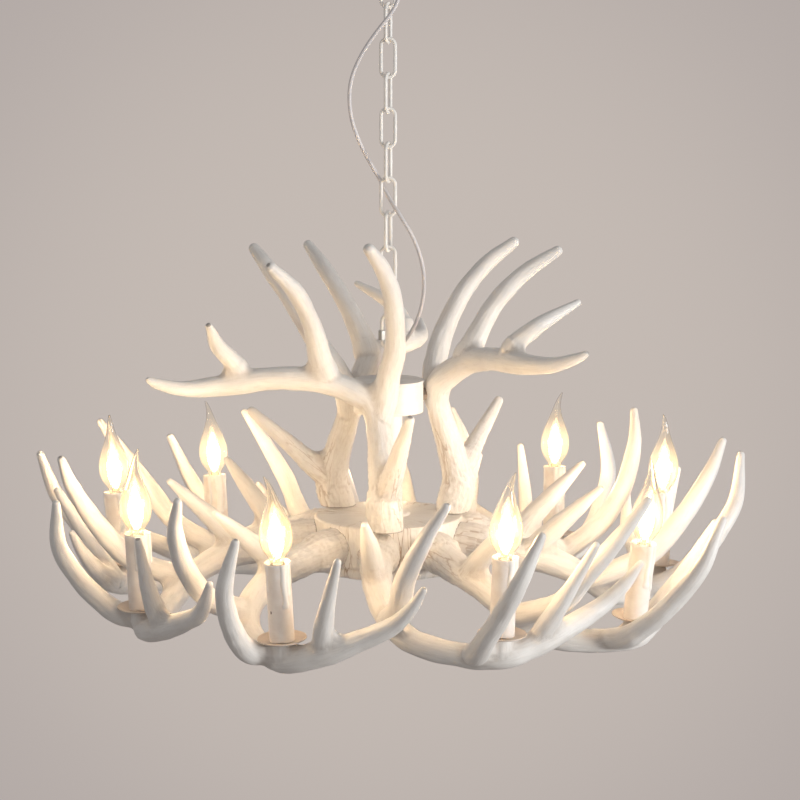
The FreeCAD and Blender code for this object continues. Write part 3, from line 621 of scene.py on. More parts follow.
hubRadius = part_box("hub")[1].x
antlerLook = {"voxel": 2.1 * mm, "web": 6.5 * mm, "step": 4 * mm, "sides": 18, "ringTurn": 1.0,
              "lumps": 1.0 * mm, "ridges": 0.42 * mm, "barkHeight": 2.3 * mm, "lowerBark": 95 * mm,
              "upperBark": 130 * mm, "hollow": 0.35 * mm, "thinBelow": 12 * mm, "wornTip": 4.5 * mm,
              "lowerWorn": (0.2, 0.95), "upperWorn": (0.3, 1.0), "bossRadius": 11.5, "bossHigh": 15,
              "bossCut": (15 * mm, 16 * mm), "hubFlat": 82.5 * mm, "jointLine": 1.6 * mm}


def own(point):
    return Vector((point[0], -point[1], point[2])) * mm


def antlerFrame(azimuth, pivot, yaw, roll, pitch, lift=0.0):
    turns = (Matrix.Rotation(math.radians(-yaw), 4, "Z") @ Matrix.Rotation(math.radians(-pitch), 4, "X")
             @ Matrix.Rotation(math.radians(roll), 4, "Y"))
    centre = own(pivot)
    around = Matrix.Rotation(math.radians(azimuth + antlerLook["ringTurn"]), 4, "Z")
    ring = Matrix.Translation((0, 0, sleevePlane)) @ around
    return ring @ Matrix.Translation(centre + up * lift * mm) @ turns @ Matrix.Translation(-centre)


def lowerFrame(azimuth):
    return antlerFrame(azimuth, lowerPivot, *lowerTurns[azimuth])


def upperFrame(azimuth):
    return antlerFrame(azimuth, upperPivot, *upperTurns[azimuth])


# places and radii along a smooth line through the points of a stem
def smoothStem(points):
    step = antlerLook["step"]
    given = np.array([(*own(p), p[3] * mm) for p in points])
    out = smoothRows(given, lambda b, c: max(2, int(np.linalg.norm(c[:3] - b[:3]) / step)))
    out[:, 3] = np.maximum(out[:, 3], given[:, 3].min())
    return out


def placesOf(mesh):
    places = np.empty(len(mesh.vertices) * 3)
    mesh.vertices.foreach_get("co", places)
    return places.reshape(-1, 3)


def normalsOf(mesh):
    normals = np.empty(len(mesh.vertices) * 3)
    mesh.vertex_normals.foreach_get("vector", normals)
    return normals.reshape(-1, 3)


# one skin over all the stems: they are swollen, joined, smoothed and drawn in again, which webs the forks
def grownTogether(name, stems, look):
    forms = [sweptForm([row[:3] for row in stem], [row[3] + look["web"] for row in stem], look["sides"])
             for stem in stems]
    holder = linked(name, meshOf(name, joined(forms)))
    joinSkin = holder.modifiers.new("join", "REMESH")
    joinSkin.mode = "VOXEL"
    joinSkin.voxel_size = look["voxel"]
    relax = holder.modifiers.new("relax", "SMOOTH")
    relax.factor = 0.5
    relax.iterations = 7
    bpy.context.view_layer.update()
    skin = bpy.data.meshes.new_from_object(holder.evaluated_get(bpy.context.evaluated_depsgraph_get()))
    bpy.data.objects.remove(holder)
    return skin, relaxed(skin, placesOf(skin) - normalsOf(skin) * look["web"], 3)


# each value or place drawn towards its neighbours' mean
def relaxed(mesh, places, rounds, factor=0.5):
    edges = np.empty(len(mesh.edges) * 2, int)
    mesh.edges.foreach_get("vertices", edges)
    edges = edges.reshape(-1, 2)
    degree = np.bincount(edges.ravel(), minlength=len(places)).astype(float)
    flat = places.reshape(len(places), -1).copy()
    for _ in range(rounds):
        mean = np.zeros_like(flat)
        for column in range(flat.shape[1]):
            mean[:, column] = (np.bincount(edges[:, 0], flat[edges[:, 1], column], len(flat))
                               + np.bincount(edges[:, 1], flat[edges[:, 0], column], len(flat))) / degree
        flat += (mean - flat) * factor
    return flat.reshape(places.shape)


# one row per place along a stem: its middle, run, radius, reach from the base, two directions
# across, the stem's number, and its end (-1 at the root, 1 at the tip, otherwise 0)
def stemFacts(stems, offsets):
    facts = []
    for number, (stem, offset) in enumerate(zip(stems, offsets)):
        reach = offset
        across = None
        last = len(stem) - 1
        for i, row in enumerate(stem):
            here = Vector(row[:3])
            ahead = (Vector(stem[min(i + 1, last)][:3]) - Vector(stem[max(i - 1, 0)][:3])).normalized()
            if across is None:
                across = ahead.orthogonal().normalized()
            else:
                across = (across - ahead * across.dot(ahead)).normalized()
            if i:
                reach += (here - Vector(stem[i - 1][:3])).length
            end = (i == last) - (i == 0)
            facts.append((here, ahead, row[3], reach, across.copy(), ahead.cross(across), number, end))
    return facts


# fills a place that the draw-in left inside a thin stem out to that stem's radius
def filledOut(place, fact):
    here, ahead, radius, *_, end = fact
    side = place - here
    along = side.dot(ahead)
    if end < 0 and along < 0:
        return place
    if end < 1 or along < 0:
        side -= ahead * along
    short = radius - side.length
    return place + side.normalized() * short if short > 0 and side.length > 0 else place


# antler along its stems, then lumps, fibres and bark; worn says how far each stem's tip is rubbed grey
def carve(name, stems, offsets, worn, look, barkReach, seed):
    mesh, places = grownTogether(name, stems, look)
    facts = stemFacts(stems, offsets)
    line = nearestOf([fact[0] for fact in facts])
    count = len(mesh.vertices)
    grain = np.zeros((count, 3))
    bark, tip, push = np.zeros(count), np.zeros(count), np.zeros(count)
    shift = Vector((seed * 3.7, seed * 1.3, -seed * 2.1))
    ends = [fact[0] + fact[1] * fact[2] for fact in facts if fact[7] > 0]
    for v in range(count):
        place = Vector(places[v])
        fact = facts[min(line.find_n(place, 5), key=lambda hit: hit[2] - facts[hit[1]][2])[1]]
        here, _, radius, reach, across, other, number, _ = fact
        place = filledOut(place, fact)
        places[v] = place
        side = place - here
        angle = math.atan2(side.dot(other), side.dot(across))
        grain[v] = (0.013 * math.cos(angle), 0.013 * math.sin(angle), reach * 0.13 + number * 0.3)
        rough = math.exp(-(max(reach, 0) / barkReach) ** 2)
        bark[v] = rough
        tip[v] = worn[number] * math.exp(-((place - ends[number]).length / look["wornTip"]) ** 2)
        long = Vector(grain[v]) + shift
        lump = noise.noise(place * 32 + shift) + 0.5 * noise.noise(place * 75 + shift)
        ridge = noise.noise(long * 300) + 0.6 * noise.noise(long * 620)
        knobs = noise.noise(place * 150 + shift) + 0.7 * noise.noise(long * 480 + shift)
        slim = min(1.0, radius / look["thinBelow"]) ** 2
        push[v] = (lump * look["lumps"] * slim + ridge * look["ridges"] * slim
                   + rough * abs(knobs) * look["barkHeight"] - rough * 0.5 * look["barkHeight"])
    places = relaxed(mesh, places, 2, 0.35)
    mesh.vertices.foreach_set("co", places.ravel())
    mesh.update()
    normals = normalsOf(mesh)
    places = places + normals * relaxed(mesh, push, 1)[:, None]
    # how far each point lies below its neighbours: the mask of painted shade in the hollows
    depth = ((relaxed(mesh, places, 5) - places) * normals).sum(1) / look["hollow"]
    mesh.vertices.foreach_set("co", places.ravel())
    for label, values in (("grain", grain), ("bark", bark), ("tip", tip), ("hollow", np.clip(depth, 0, 1))):
        giveValues(mesh, label, values)
    return mesh


# flat top of the boss under a drip plate, in the antler's own directions
def facedBoss(mesh):
    seat, top = own(lowerSeat), own(lowerAxisTop)
    axis = (top - seat).normalized()
    reach, height = antlerLook["bossCut"]
    for vertex in mesh.vertices:
        away = vertex.co - seat
        high = away.dot(axis)
        if 0 < high < height and (away - axis * high).length < reach:
            vertex.co -= axis * high


# drops what lies behind a plane and closes the cut
def sawn(mesh, place, facing):
    shape = bmesh.new()
    shape.from_mesh(mesh)
    everything = shape.verts[:] + shape.edges[:] + shape.faces[:]
    cut = bmesh.ops.bisect_plane(shape, geom=everything, dist=1e-6, plane_co=place, plane_no=facing,
                                 clear_inner=True)
    rim = [e for e in cut["geom_cut"] if isinstance(e, bmesh.types.BMEdge)]
    bmesh.ops.holes_fill(shape, edges=rim, sides=0)
    shape.to_mesh(mesh)
    shape.free()


# dark line round the joint with the hub
def darkJoint(mesh, distance):
    tip = np.empty(len(mesh.vertices), np.float32)
    mesh.attributes["tip"].data.foreach_get("value", tip)
    away = np.maximum([distance(vertex.co) for vertex in mesh.vertices], 0)
    line = np.exp(-(away / antlerLook["jointLine"]) ** 2)
    mesh.attributes["tip"].data.foreach_set("value", np.maximum(tip, line).astype(np.float32))


# keeps the root of a tine inside the stem that it grows from
def rooted(tine, main):
    for i in range(4):
        away = np.linalg.norm(main[:, :3] - tine[i, :3], axis=1)
        k = np.argmin(away)
        tine[i, 3] = min(tine[i, 3], max(3 * mm, main[k, 3] - away[k] + 2 * mm * i))
    return tine


# distance along the main stem at which each tine leaves it
def tineOffsets(stems):
    main = stems[0][:, :3]
    reach = np.concatenate([[0], np.cumsum(np.linalg.norm(np.diff(main, axis=0), axis=1))])
    return [0.0] + [reach[np.argmin(np.linalg.norm(main - stem[0][:3], axis=1))] for stem in stems[1:]]


def antlerStems(main, tines):
    main = smoothStem(main)
    return [main] + [rooted(smoothStem(tine), main) for tine in tines]


def finishAntler(name, mesh, node):
    finishPiece(name, mesh, "fixture", antlerResin, [node], 60)


def makeLowerAntler(number, azimuth, stems, worn, look):
    mesh = carve(f"lowerAntler_{number}", stems, tineOffsets(stems), worn, look, look["lowerBark"], number)
    facedBoss(mesh)
    matrix = lowerFrame(azimuth)
    mesh.transform(matrix)
    facing = matrix @ own(lowerBase[1])
    facing = Vector((facing.x, facing.y, 0)).normalized()
    sawn(mesh, facing * look["hubFlat"], facing)
    darkJoint(mesh, lambda place: math.hypot(place.x, place.y) - hubRadius)
    finishAntler(f"lowerAntler_{number}", mesh, f"lower_antler_{number}")


def makeUpperAntler(number, azimuth, stems, worn, look):
    seed = 20 + number
    mesh = carve(f"upperAntler_{number}", stems, tineOffsets(stems), worn, look, look["upperBark"], seed)
    mesh.transform(upperFrame(azimuth))
    sawn(mesh, Vector((0, 0, hubTop)), up)
    darkJoint(mesh, lambda place: place.z - hubTop)
    finishAntler(f"upperAntler_{number}", mesh, f"upper_antler_{number}")


def makeAntlers():
    look = antlerLook
    lower = antlerStems(lowerBase + lowerBeam, lowerTines)
    upper = antlerStems(upperTrunk, upperTines)
    along, out, high = lowerSeat
    boss = [(along, out - 1.3, high - look["bossHigh"], look["bossRadius"] + 0.5),
            (along, out - 0.3, high - 3, look["bossRadius"])]
    lower.append(smoothStem(boss))
    draw = random.Random(77)
    for number, azimuth in enumerate(lowerTurns, 1):
        worn = [draw.uniform(*look["lowerWorn"]) for _ in lower[1:]] + [0]  # none on the boss
        makeLowerAntler(number, azimuth, lower, worn, look)
    for number, azimuth in enumerate(upperTurns, 1):
        worn = [draw.uniform(*look["upperWorn"]) for _ in upper]
        makeUpperAntler(number, azimuth, upper, worn, look)


makeAntlers()
stageDone("antlers")

# hub: barky turned casting with a fluted foot

hubLook = {"radius": 85, "beadHigh": 5, "waist": 2.5, "wall": 7.5, "top": 8, "flutes": 20, "fluteDepth": 2.2,
           "fluteTop": 9, "bark": 1.5, "barkFrom": 60, "barkFull": 82, "hole": 5.3, "cover": 5.0,
           "coverReach": 79.8, "sides": 240, "hollow": 0.5 * mm}


# (radius, height) rows in millimetres up to the rim and down the side to the foot
def hubOutside(look, high):
    r, bead, waist = look["radius"], look["beadHigh"], look["waist"]
    rows = [(look["hole"], high), (20, high), (40, high), (60, high)]
    for t in (0, 0.4, 0.8, 1.2, 1.55):
        rows.append((r - bead * (1 - math.sin(t)), high - bead / 2 * (1 - math.cos(t))))
    rows += [(r, z) for z in np.linspace(high - 3.5, 14, 26)]
    rows += [(r - 1.4, 12.5), (r - waist, 10.5), (r - 1.4, 8.4), (r, 6.5), (r, 5)]
    return rows + [(r - 0.4, 3), (r - 1.2, 1.4), (r - 2.6, 0)]


def hubInside(look, high):
    reach, cover, bore = look["coverReach"], look["cover"], look["radius"] - look["wall"]
    under = high - look["top"]
    return [(reach, 0), (reach, cover), (bore, cover), (bore, under), (look["hole"], under)]


# bark on the side, flutes at the foot and a slightly uneven top
def roughened(p, look, high):
    radius = math.hypot(p.x, p.y)
    way = Vector((p.x / radius, p.y / radius, 0))
    z = p.z / mm
    onSide = min(1, max(0, (radius / mm - look["barkFrom"]) / (look["barkFull"] - look["barkFrom"])))
    rough = noise.noise(Vector((way.x * 9, way.y * 9, z * 0.05)))
    rough += 0.6 * noise.noise(Vector((way.x * 24, way.y * 24, z * 0.12)))
    rough += 0.4 * noise.noise(p * 170)
    inward = min(0.2, rough * 0.75) * look["bark"] * mm * onSide
    flute = 0
    if z < look["fluteTop"]:
        wave = abs(math.cos(look["flutes"] / 2 * math.atan2(p.y, p.x)))
        flute = look["fluteDepth"] * mm * wave ** 3 * min(1, (look["fluteTop"] - z) / 2.5)
    p += way * (inward - flute)
    if z > high - 3 and onSide < 1:
        p.z += 0.35 * mm * noise.noise(p * 90) * min(1, radius / (30 * mm)) - 0.3 * mm
    return p


def makeHub():
    look = hubLook
    high = (hubTop - hubFoot) / mm
    outside = hubOutside(look, high)
    points, faces = turned(outside + hubInside(look, high), look["sides"])
    shaped = len(outside) * look["sides"]
    points = [roughened(Vector(p), look, high) for p in points[:shaped]] + points[shaped:]
    form = lifted((points, faces), hubFoot)
    mesh = makePiece("hubCasting", form, "fixture", hubResin, ["hub"], 50).data
    places = placesOf(mesh)
    radius = np.hypot(places[:, 0], places[:, 1])
    ring = places[:, :2] / np.maximum(radius, mm)[:, None] * look["radius"] * mm
    giveValues(mesh, "grain", np.column_stack([ring, (places[:, 2] - hubFoot + radius) * 0.15]))
    giveValues(mesh, "bark", np.where(radius > 80 * mm, 0.9, 0.35))
    giveValues(mesh, "tip", np.zeros(len(places)))
    # how far each point lies below its neighbours: the mask of painted shade in the hollows
    depth = ((relaxed(mesh, places, 4) - places) * normalsOf(mesh)).sum(1) / look["hollow"]
    giveValues(mesh, "hollow", np.clip(depth, 0, 1))


makeHub()
stageDone("hub")

# centre: drum, lid, column, flange, cover, cap nut and gland

centreLook = {"drumRadius": 40, "drumWall": 1.5, "drumFillet": 0.9, "lidThick": 2, "lidRim": 5,
              "lidFillet": 0.7, "columnRadius": 16, "columnWall": 1.5, "flangeRadius": 25, "flangeHigh": 3,
              "coverReach": 79.5, "coverThick": 2.5, "hole": 5.3, "threadHole": 5.06, "nutCorner": 9.81,
              "domeHigh": 7, "cordHole": 2.95, "glandHigh": 9}


def makeCentre():
    look = centreLook
    hole, wall, thick = look["hole"], look["drumWall"], look["lidThick"]
    r, high = look["drumRadius"], (lidTop - drumFloor) / mm
    under = high - thick
    drum = [(hole, 0), (r, 0), (r, 2.2), (r - 0.35, 2.6), (r, 3), (r, high - 5), (r - 0.35, high - 4.6),
            (r, high - 4.2), (r, under), (r - wall, under), (r - wall, wall), (hole, wall)]
    rim, deep = r - wall - 0.05, -look["lidRim"]
    lid = [(hole, 0), (hole, thick), (r + 1, thick), (r + 1, 0), (rim, 0), (rim, deep), (rim - 2, deep),
           (rim - 2, 0)]
    c, bore, tall = look["columnRadius"], look["columnRadius"] - look["columnWall"], (drumFloor - hubTop) / mm
    column = [(bore, look["flangeHigh"]), (c, look["flangeHigh"]), (c, tall), (bore, tall)]
    f = look["flangeRadius"]
    flange = [(hole, 0), (f, 0), (f - 0.2, 1.2), (f - 2, look["flangeHigh"]), (hole, look["flangeHigh"])]
    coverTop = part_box("hub_cover")[1].z
    reach, foot = look["coverReach"], -look["coverThick"]
    cover = [(hole, 0), (reach, 0), (reach, foot), (reach - 8, foot), (reach - 9, foot + 0.6),
             (reach - 10, foot), (hole, foot)]
    for name, outline, sides, height, rounding, node in (
            ("splicingDrum", drum, 96, drumFloor, look["drumFillet"], "drum"),
            ("drumLid", lid, 96, lidTop - thick * mm, look["lidFillet"], "drum_lid"),
            ("centreColumn", column, 64, hubTop, 0.4, "column"),
            ("columnFlange", flange, 64, hubTop, 0.6, "column_flange"),
            ("hubCover", cover, 96, coverTop, 0.8, "hub_cover")):
        form = turned(outline, sides, height, rounding)
        makePiece(name, form, "fixture", whiteMetal, [node])
    makeCapNut(coverTop + foot * mm)
    makeGland()


# six-sided nut with a dome under it
def makeCapNut(top):
    low = (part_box("cap_nut")[0].z - top) / mm
    hole, corner, under = centreLook["threadHole"], centreLook["nutCorner"], low + centreLook["domeHigh"]
    dome = [(0, low), (2.6, low + 0.35), (5.2, low + 1.6), (7.2, low + 4), (7.8, under - 1), (0, under - 1)]
    nut = [(hole, under - 1), (9.6, under - 0.6), (corner, under), (corner, -0.5), (9.4, 0), (hole, 0)]
    form = lifted(joined([turned(dome, 48), turned(nut, 6)]), top)
    makePiece("capNut", form, "fixture", zincSteel, ["cap_nut"], 30)


def makeGland():
    bore, high = centreLook["cordHole"], centreLook["glandHigh"]
    gland = [(bore, high), (bore, 1.5), (0, 1.5), (0, 0), (5.5, 0), (5.5, 3.4), (5.2, 4), (4.4, 7),
             (4.05, high)]
    form = moved(turned(gland, 40, 0, 0.4), Matrix.Translation((0, 24 * mm, lidTop)))
    makePiece("cordGland", form, "fixture", socketPlastic, ["cord_gland"])


makeCentre()
stageDone("centre")

# chain, quick link, eye and ceiling pieces

chainLook = {"count": 10, "length": 47.65, "width": 20.0, "wire": 4.2, "gap": 0.25, "turns": (0, 70),
             "weldHigh": 1.1, "weldSwell": 0.1}
quickLook = {"length": 41.0, "width": 19.0, "wire": 4.2, "gap": 3 * mm, "thread": 9 * mm, "pitch": 1.3 * mm,
             "threadDepth": 0.07, "nutFlats": 7.6, "nutBore": 2.6}
eyeLook = {"length": 39.0, "width": 26.0, "wire": 5.0}
loopLook = {"length": 33.0, "width": 33.0, "wire": 5.0, "neck": 18}


# middle line of a link in the XZ plane, in metres
def ovalCentres(length, width, wire, steps=16, runSteps=8):
    bend = (width - wire) / 2
    straight = length / 2 - wire / 2 - bend
    centres = []
    for end in (1, -1):
        for k in range(steps + 1):
            a = end * math.pi * (k / steps - 0.5)
            centres.append(Vector((-bend * math.sin(a), 0, end * (straight + bend * math.cos(a)))) * mm)
        if straight > 0:
            for k in range(1, runSteps):
                centres.append(Vector((-end * bend, 0, end * straight * (1 - 2 * k / runSteps))) * mm)
    if straight <= 0:
        centres = [c for i, c in enumerate(centres) if (c - centres[i - 1]).length > 1e-7]
    return centres


# oval of round wire that stands in the YZ plane about a height
def standingRing(look, steps, middle):
    path = ovalCentres(look["length"], look["width"], look["wire"], steps)
    place = Matrix.Translation((0, 0, middle)) @ Matrix.Rotation(math.radians(90), 4, "Z")
    return moved(sweptForm(path, look["wire"] / 2 * mm, 20, True), place)


# a link with a little swelling at its weld
def linkForm(look):
    centres = ovalCentres(look["length"], look["width"], look["wire"])
    radii = []
    for c in centres:
        atWeld = math.exp(-((c.z / mm) / look["weldHigh"]) ** 2) if c.x > 0 else 0
        radii.append(look["wire"] / 2 * mm * (1 + look["weldSwell"] * atWeld))
    return sweptForm(centres, radii, 18, True)


def makeChain():
    look = chainLook
    first = ceilingLoopLow + (loopLook["wire"] + look["gap"] + look["wire"] - look["length"] / 2) * mm
    pitch = (look["length"] - 2 * look["wire"] - look["gap"]) * mm
    link = linkForm(look)
    forms = []
    for k in range(look["count"]):
        turn = Matrix.Rotation(math.radians(look["turns"][k % 2]), 4, "Z")
        forms.append(moved(link, Matrix.Translation((0, 0, first - k * pitch)) @ turn))
    makePiece("chainLinks", joined(forms), "chain", chainPaint, ["chain_links"], 60)


# the link is open on its left, where the nut closes it, and threaded on both sides of the gap
def makeQuickLink():
    look = quickLook
    low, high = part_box("quick_link")
    nutLow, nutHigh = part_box("quick_link_nut")
    middle = (low.z + high.z) / 2
    nutMiddle = (nutLow.z + nutHigh.z) / 2 - middle
    leg = -(look["width"] - look["wire"]) / 2 * mm
    gap = Vector((leg, 0, nutMiddle))
    centres = ovalCentres(look["length"], look["width"], look["wire"], 20, 60)
    start = min(range(len(centres)), key=lambda i: (centres[i] - gap).length)
    ordered = centres[start:] + centres[:start]
    ordered = [c for c in ordered if c.x >= 0 or abs(c.z - nutMiddle) >= look["gap"]]
    radii = []
    for c in ordered:
        threaded = c.x < 0 and abs(c.z - nutMiddle) < look["thread"]
        deep = look["threadDepth"] * (1 - math.cos(2 * math.pi * c.z / look["pitch"])) if threaded else 0
        radii.append(look["wire"] / 2 * mm * (1 - deep))
    form = lifted(sweptForm(ordered, radii, 18), middle)
    makePiece("quickLink", form, "chain", chainPaint, ["quick_link"], 60)
    corner, bore, tall = look["nutFlats"] / math.sqrt(3), look["nutBore"], (nutHigh.z - nutLow.z) / mm
    outline = [(bore, 0), (corner - 0.5, 0), (corner, 0.6), (corner, tall - 0.6), (corner - 0.5, tall),
               (bore, tall)]
    nut = moved(turned(outline, 6), Matrix.Rotation(math.radians(30), 4, "Z"))
    nut = moved(nut, Matrix.Translation((leg, 0, nutLow.z)))
    makePiece("quickLinkNut", nut, "link_nut", zincSteel, ["quick_link_nut"], 25)


def makeEye():
    low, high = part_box("fixture_eye")
    ring = standingRing(eyeLook, 24, high.z - eyeLook["length"] / 2 * mm)
    neck = [(0, 0), (6.5, 0), (6.5, 3), (5.6, 4), (3.6, 5.6), (2.5, 8), (0, 8.1)]
    form = joined([ring, turned(neck, 48, low.z, 0.5)])
    makePiece("hangingEye", form, "fixture", whiteMetal, ["fixture_eye"], 50)


canopyLook = {"radius": 56.0, "hole": 5.3, "wall": 1.2, "high": 24.0, "skirt": 7.0, "shoulder": 40.3,
              "shoulderHigh": 3.5, "collar": 12.0, "threadHole": 5.05}


# curve of the dome in two parts, from the skirt over the shoulder to the collar
def canopyDome(look, wall):
    start = Vector((look["radius"] - wall, -look["skirt"]))
    bend = Vector((look["shoulder"] - wall / 2, -look["high"] + look["shoulderHigh"] + wall))
    foot = Vector((look["collar"] + 2, -look["high"] + wall))
    knee = Vector((look["radius"] - wall - 1.5, bend.y + 4))
    rows = []
    for a, b, c in ((start, knee, bend), (bend, bend + (bend - knee) * 0.35, foot)):
        for k in range(9):
            t = k / 9
            rows.append(tuple(a * (1 - t) ** 2 + b * 2 * t * (1 - t) + c * t * t))
    return rows + [tuple(foot)]


def makeCanopy():
    look = canopyLook
    r, wall, hole, bore = look["radius"], look["wall"], look["hole"], look["threadHole"]
    outside = [(r, 0)] + canopyDome(look, 0) + [(hole, -look["high"])]
    inside = [(hole, -look["high"] + wall)] + canopyDome(look, wall)[::-1] + [(r - wall, 0)]
    form = turned(outside + inside, 96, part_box("canopy")[1].z)
    makePiece("ceilingCanopy", form, "ceiling", whiteMetal, ["canopy"], 45)
    reach = look["collar"]
    collar = [(bore, 0), (reach, 0), (reach, -4), (reach - 4, -7), (bore, -7)]
    form = turned(collar, 56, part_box("canopy_collar")[1].z, 0.7)
    makePiece("canopyCollar", form, "ceiling", whiteMetal, ["canopy_collar"])


# ring under a bell-mouthed neck; the part of the ring inside the neck is left out
def makeCeilingLoop():
    low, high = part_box("ceiling_loop")
    deep, hole = loopLook["neck"], canopyLook["threadHole"]
    neck = [(hole, 0), (8, 0), (8, -5), (9, -6.3), (12, -9), (12, -deep), (9, -deep), (9, -9), (4.5, -6.5),
            (hole, -6)]
    points, faces = standingRing(loopLook, 28, low.z + loopLook["length"] / 2 * mm)
    limit = high.z - deep * mm + 3 * mm
    shown = [face for face in faces if min(points[i].z for i in face) < limit]
    form = joined([turned(neck, 56, high.z, 0.5), (points, shown)])
    makePiece("ceilingLoop", form, "ceiling", whiteMetal, ["ceiling_loop"], 50)


makeChain()
makeQuickLink()
makeEye()
makeCanopy()
makeCeilingLoop()
stageDone("chain and ceiling pieces")

# candles: dripping sleeves, drip plates, sockets and lit flame bulbs

candleLook = {"radius": 14.0, "bore": 12.5, "length": 85.0, "slit": 1.1, "runs": 6, "frontRun": -62,
              "chipped": 4, "chipTurn": -2.35, "chipHigh": 34, "plateThick": 1.2, "plateRadius": 26.0,
              "plateRim": 4.0, "socketSink": 6.0, "socketLength": 30.0}
bulbLook = {"radius": 17.5, "high": 99.0, "tipLean": 9.0, "tipTurn": 137.5, "glassWall": 0.6, "flame": 0.34,
            "glowReach": 24.0, "coilTurns": 15, "coilRadius": 7, "coilLow": 10, "coilHigh": 58,
            "coilWire": 0.75,
            "leadWire": 0.25 * mm, "lampPower": 1.2, "lampTint": (1.0, 0.72, 0.42), "lampSize": 9 * mm}
socketTop = candleLook["plateThick"] + candleLook["length"] - candleLook["socketSink"]


def candleFrame(azimuth):
    seat = lowerFrame(azimuth) @ own(lowerSeat)
    axis = lowerFrame(azimuth) @ own(lowerAxisTop) - seat
    return Matrix.Translation(seat) @ up.rotation_difference(axis).to_matrix().to_4x4()


# angle, half width, length and height of each wax run, the first one towards the front
def waxRuns(number, look):
    draw = random.Random(400 + number)
    runs = [(math.radians(look["frontRun"]), 3.6, 47, 1.9)]
    for _ in range(look["runs"]):
        runs.append([draw.uniform(*span) for span in ((0, 6.28), (1.9, 3.4), (10, 60), (1.2, 1.9))])
    return runs


def halfTurn(angle):
    return (angle + math.pi) % (2 * math.pi) - math.pi


# moulded candle sleeve: wax runs from an uneven rim, each ending in a bead
def makeSleeve(number, azimuth, look):
    runs = waxRuns(number, look)
    around, tall = 132, 96
    low, bore = look["plateThick"], look["bore"]
    points, melt = [], []
    heights = [look["length"] * (1 - (1 - k / (tall - 1)) ** 1.35) for k in range(tall)]

    def wax(a, z):
        fromTop = look["length"] - z
        skirt = 4.2 + 2.0 * math.sin(3 * a + number) + 1.4 * math.sin(7 * a + 2 * number)
        thick = 0.55 / (1 + math.exp((fromTop - skirt) * 1.6))
        for angle, half, length, height in runs:
            off = halfTurn(a - angle) * look["radius"] + 0.7 * math.sin(z * 0.16 + number)
            bead = 0.3 * math.exp(-((fromTop - length + 2.5) / 3.0) ** 2)
            wide = 1.25 * half * (0.62 + 0.38 * math.exp(-fromTop / 9) + bead)
            if abs(off) < wide:
                end = 1 / (1 + math.exp((fromTop - length) * 2.4))
                thick = max(thick, height * end * math.sqrt(max(0, 1 - (off / wide) ** 2)))
        return thick

    def slit(a):  # the sleeve stands a little off its plate towards the front
        return look["slit"] * math.exp(-(halfTurn(a + math.pi / 2) / 0.5) ** 2)

    def add(a, radius, z, melted):
        points.append((radius * mm * math.cos(a), radius * mm * math.sin(a), z * mm))
        melt.append(melted)

    for z in heights:
        for a in turnAngles(around):
            thick = wax(a, z)
            radius = look["radius"] - 0.75 + thick - (0.5 if z > look["length"] - 0.8 else 0)
            add(a, radius, low + z + slit(a) * (z == 0), min(1, thick))
    for z, radius in ((look["length"], bore + 0.3), (look["length"] - 0.8, bore), (0, bore)):
        for a in turnAngles(around):
            worn = 0.4 * (0.35 * math.sin(2 * a + number) + 0.25 * math.sin(5 * a)) - 0.6
            add(a, radius, low + z + (worn if z else slit(a)), 0.5)
    form = moved((points, bandFaces(tall + 3, around)), candleFrame(azimuth))
    piece = makePiece(f"waxSleeve_{number}", form, "fixture", waxSleeve,
                      [f"candle_sleeve_{number}"], 60)
    giveValues(piece.data, "melt", melt)
    chip = np.zeros(len(points), np.float32)
    if number == look["chipped"]:
        for i, p in enumerate(points):
            off = (math.atan2(p[1], p[0]) - look["chipTurn"]) * look["radius"]
            chip[i] = math.exp(-(off / 1.0) ** 2 - ((p[2] / mm - look["chipHigh"]) / 1.9) ** 2) > 0.4
    giveValues(piece.data, "chip", chip)


# (lean, height, radius) rows of the glass, from the cap to the bent tip
def bulbStations(look):
    wide, lean = look["radius"], look["tipLean"]
    rows = [(0, 2, 6.6), (0, 6, 7.2), (0, 12, 9.8)]
    for x, share, r in ((0, 0.2, 14.6), (0, 0.28, 17.0), (0, 0.35, wide), (0, 0.43, 16.7), (0.1, 0.53, 14.0),
                        (0.3, 0.62, 10.6), (0.8, 0.71, 7.4), (1.9, 0.8, 4.9), (3.9, 0.88, 3.3),
                        (6.4, 0.945, 2.1)):
        rows.append((x, look["high"] * share, r))
    rows.append((lean - 0.3, look["high"] - 1.0, 0.9))
    given = np.array([(x, socketTop + z, r) for x, z, r in rows])
    return smoothRows(given, lambda b, c: 4).tolist()


def makeBulb(number, azimuth, look):
    stations = bulbStations(look)
    matrix = candleFrame(azimuth) @ Matrix.Rotation(math.radians(number * look["tipTurn"]), 4, "Z")
    sides = 40
    flame = socketTop + look["high"] * look["flame"]
    points, glow = [], []
    inside = [(x, z, max(r - look["glassWall"], 0.15)) for x, z, r in reversed(stations)]
    for x, z, r in stations + inside:
        for a in turnAngles(sides):
            points.append((x * mm + r * mm * math.cos(a), r * mm * math.sin(a), z * mm))
            # painted glow of the glass, strongest at the height of the flame
            glow.append(math.exp(-((z - flame) / look["glowReach"]) ** 2))
    form = moved((points, bandFaces(2 * len(stations), sides)), matrix)
    glass = makePiece(f"flameBulb_{number}", form, "fixture", lampGlass, [f"bulb_{number}"], 80)
    giveValues(glass.data, "glow", glow)
    glass.visible_shadow = False
    makeBulbCap(number, matrix)
    filament = makeFilamentCoil(number, matrix, look)
    makeFlame(number, matrix, filament, flame, look)


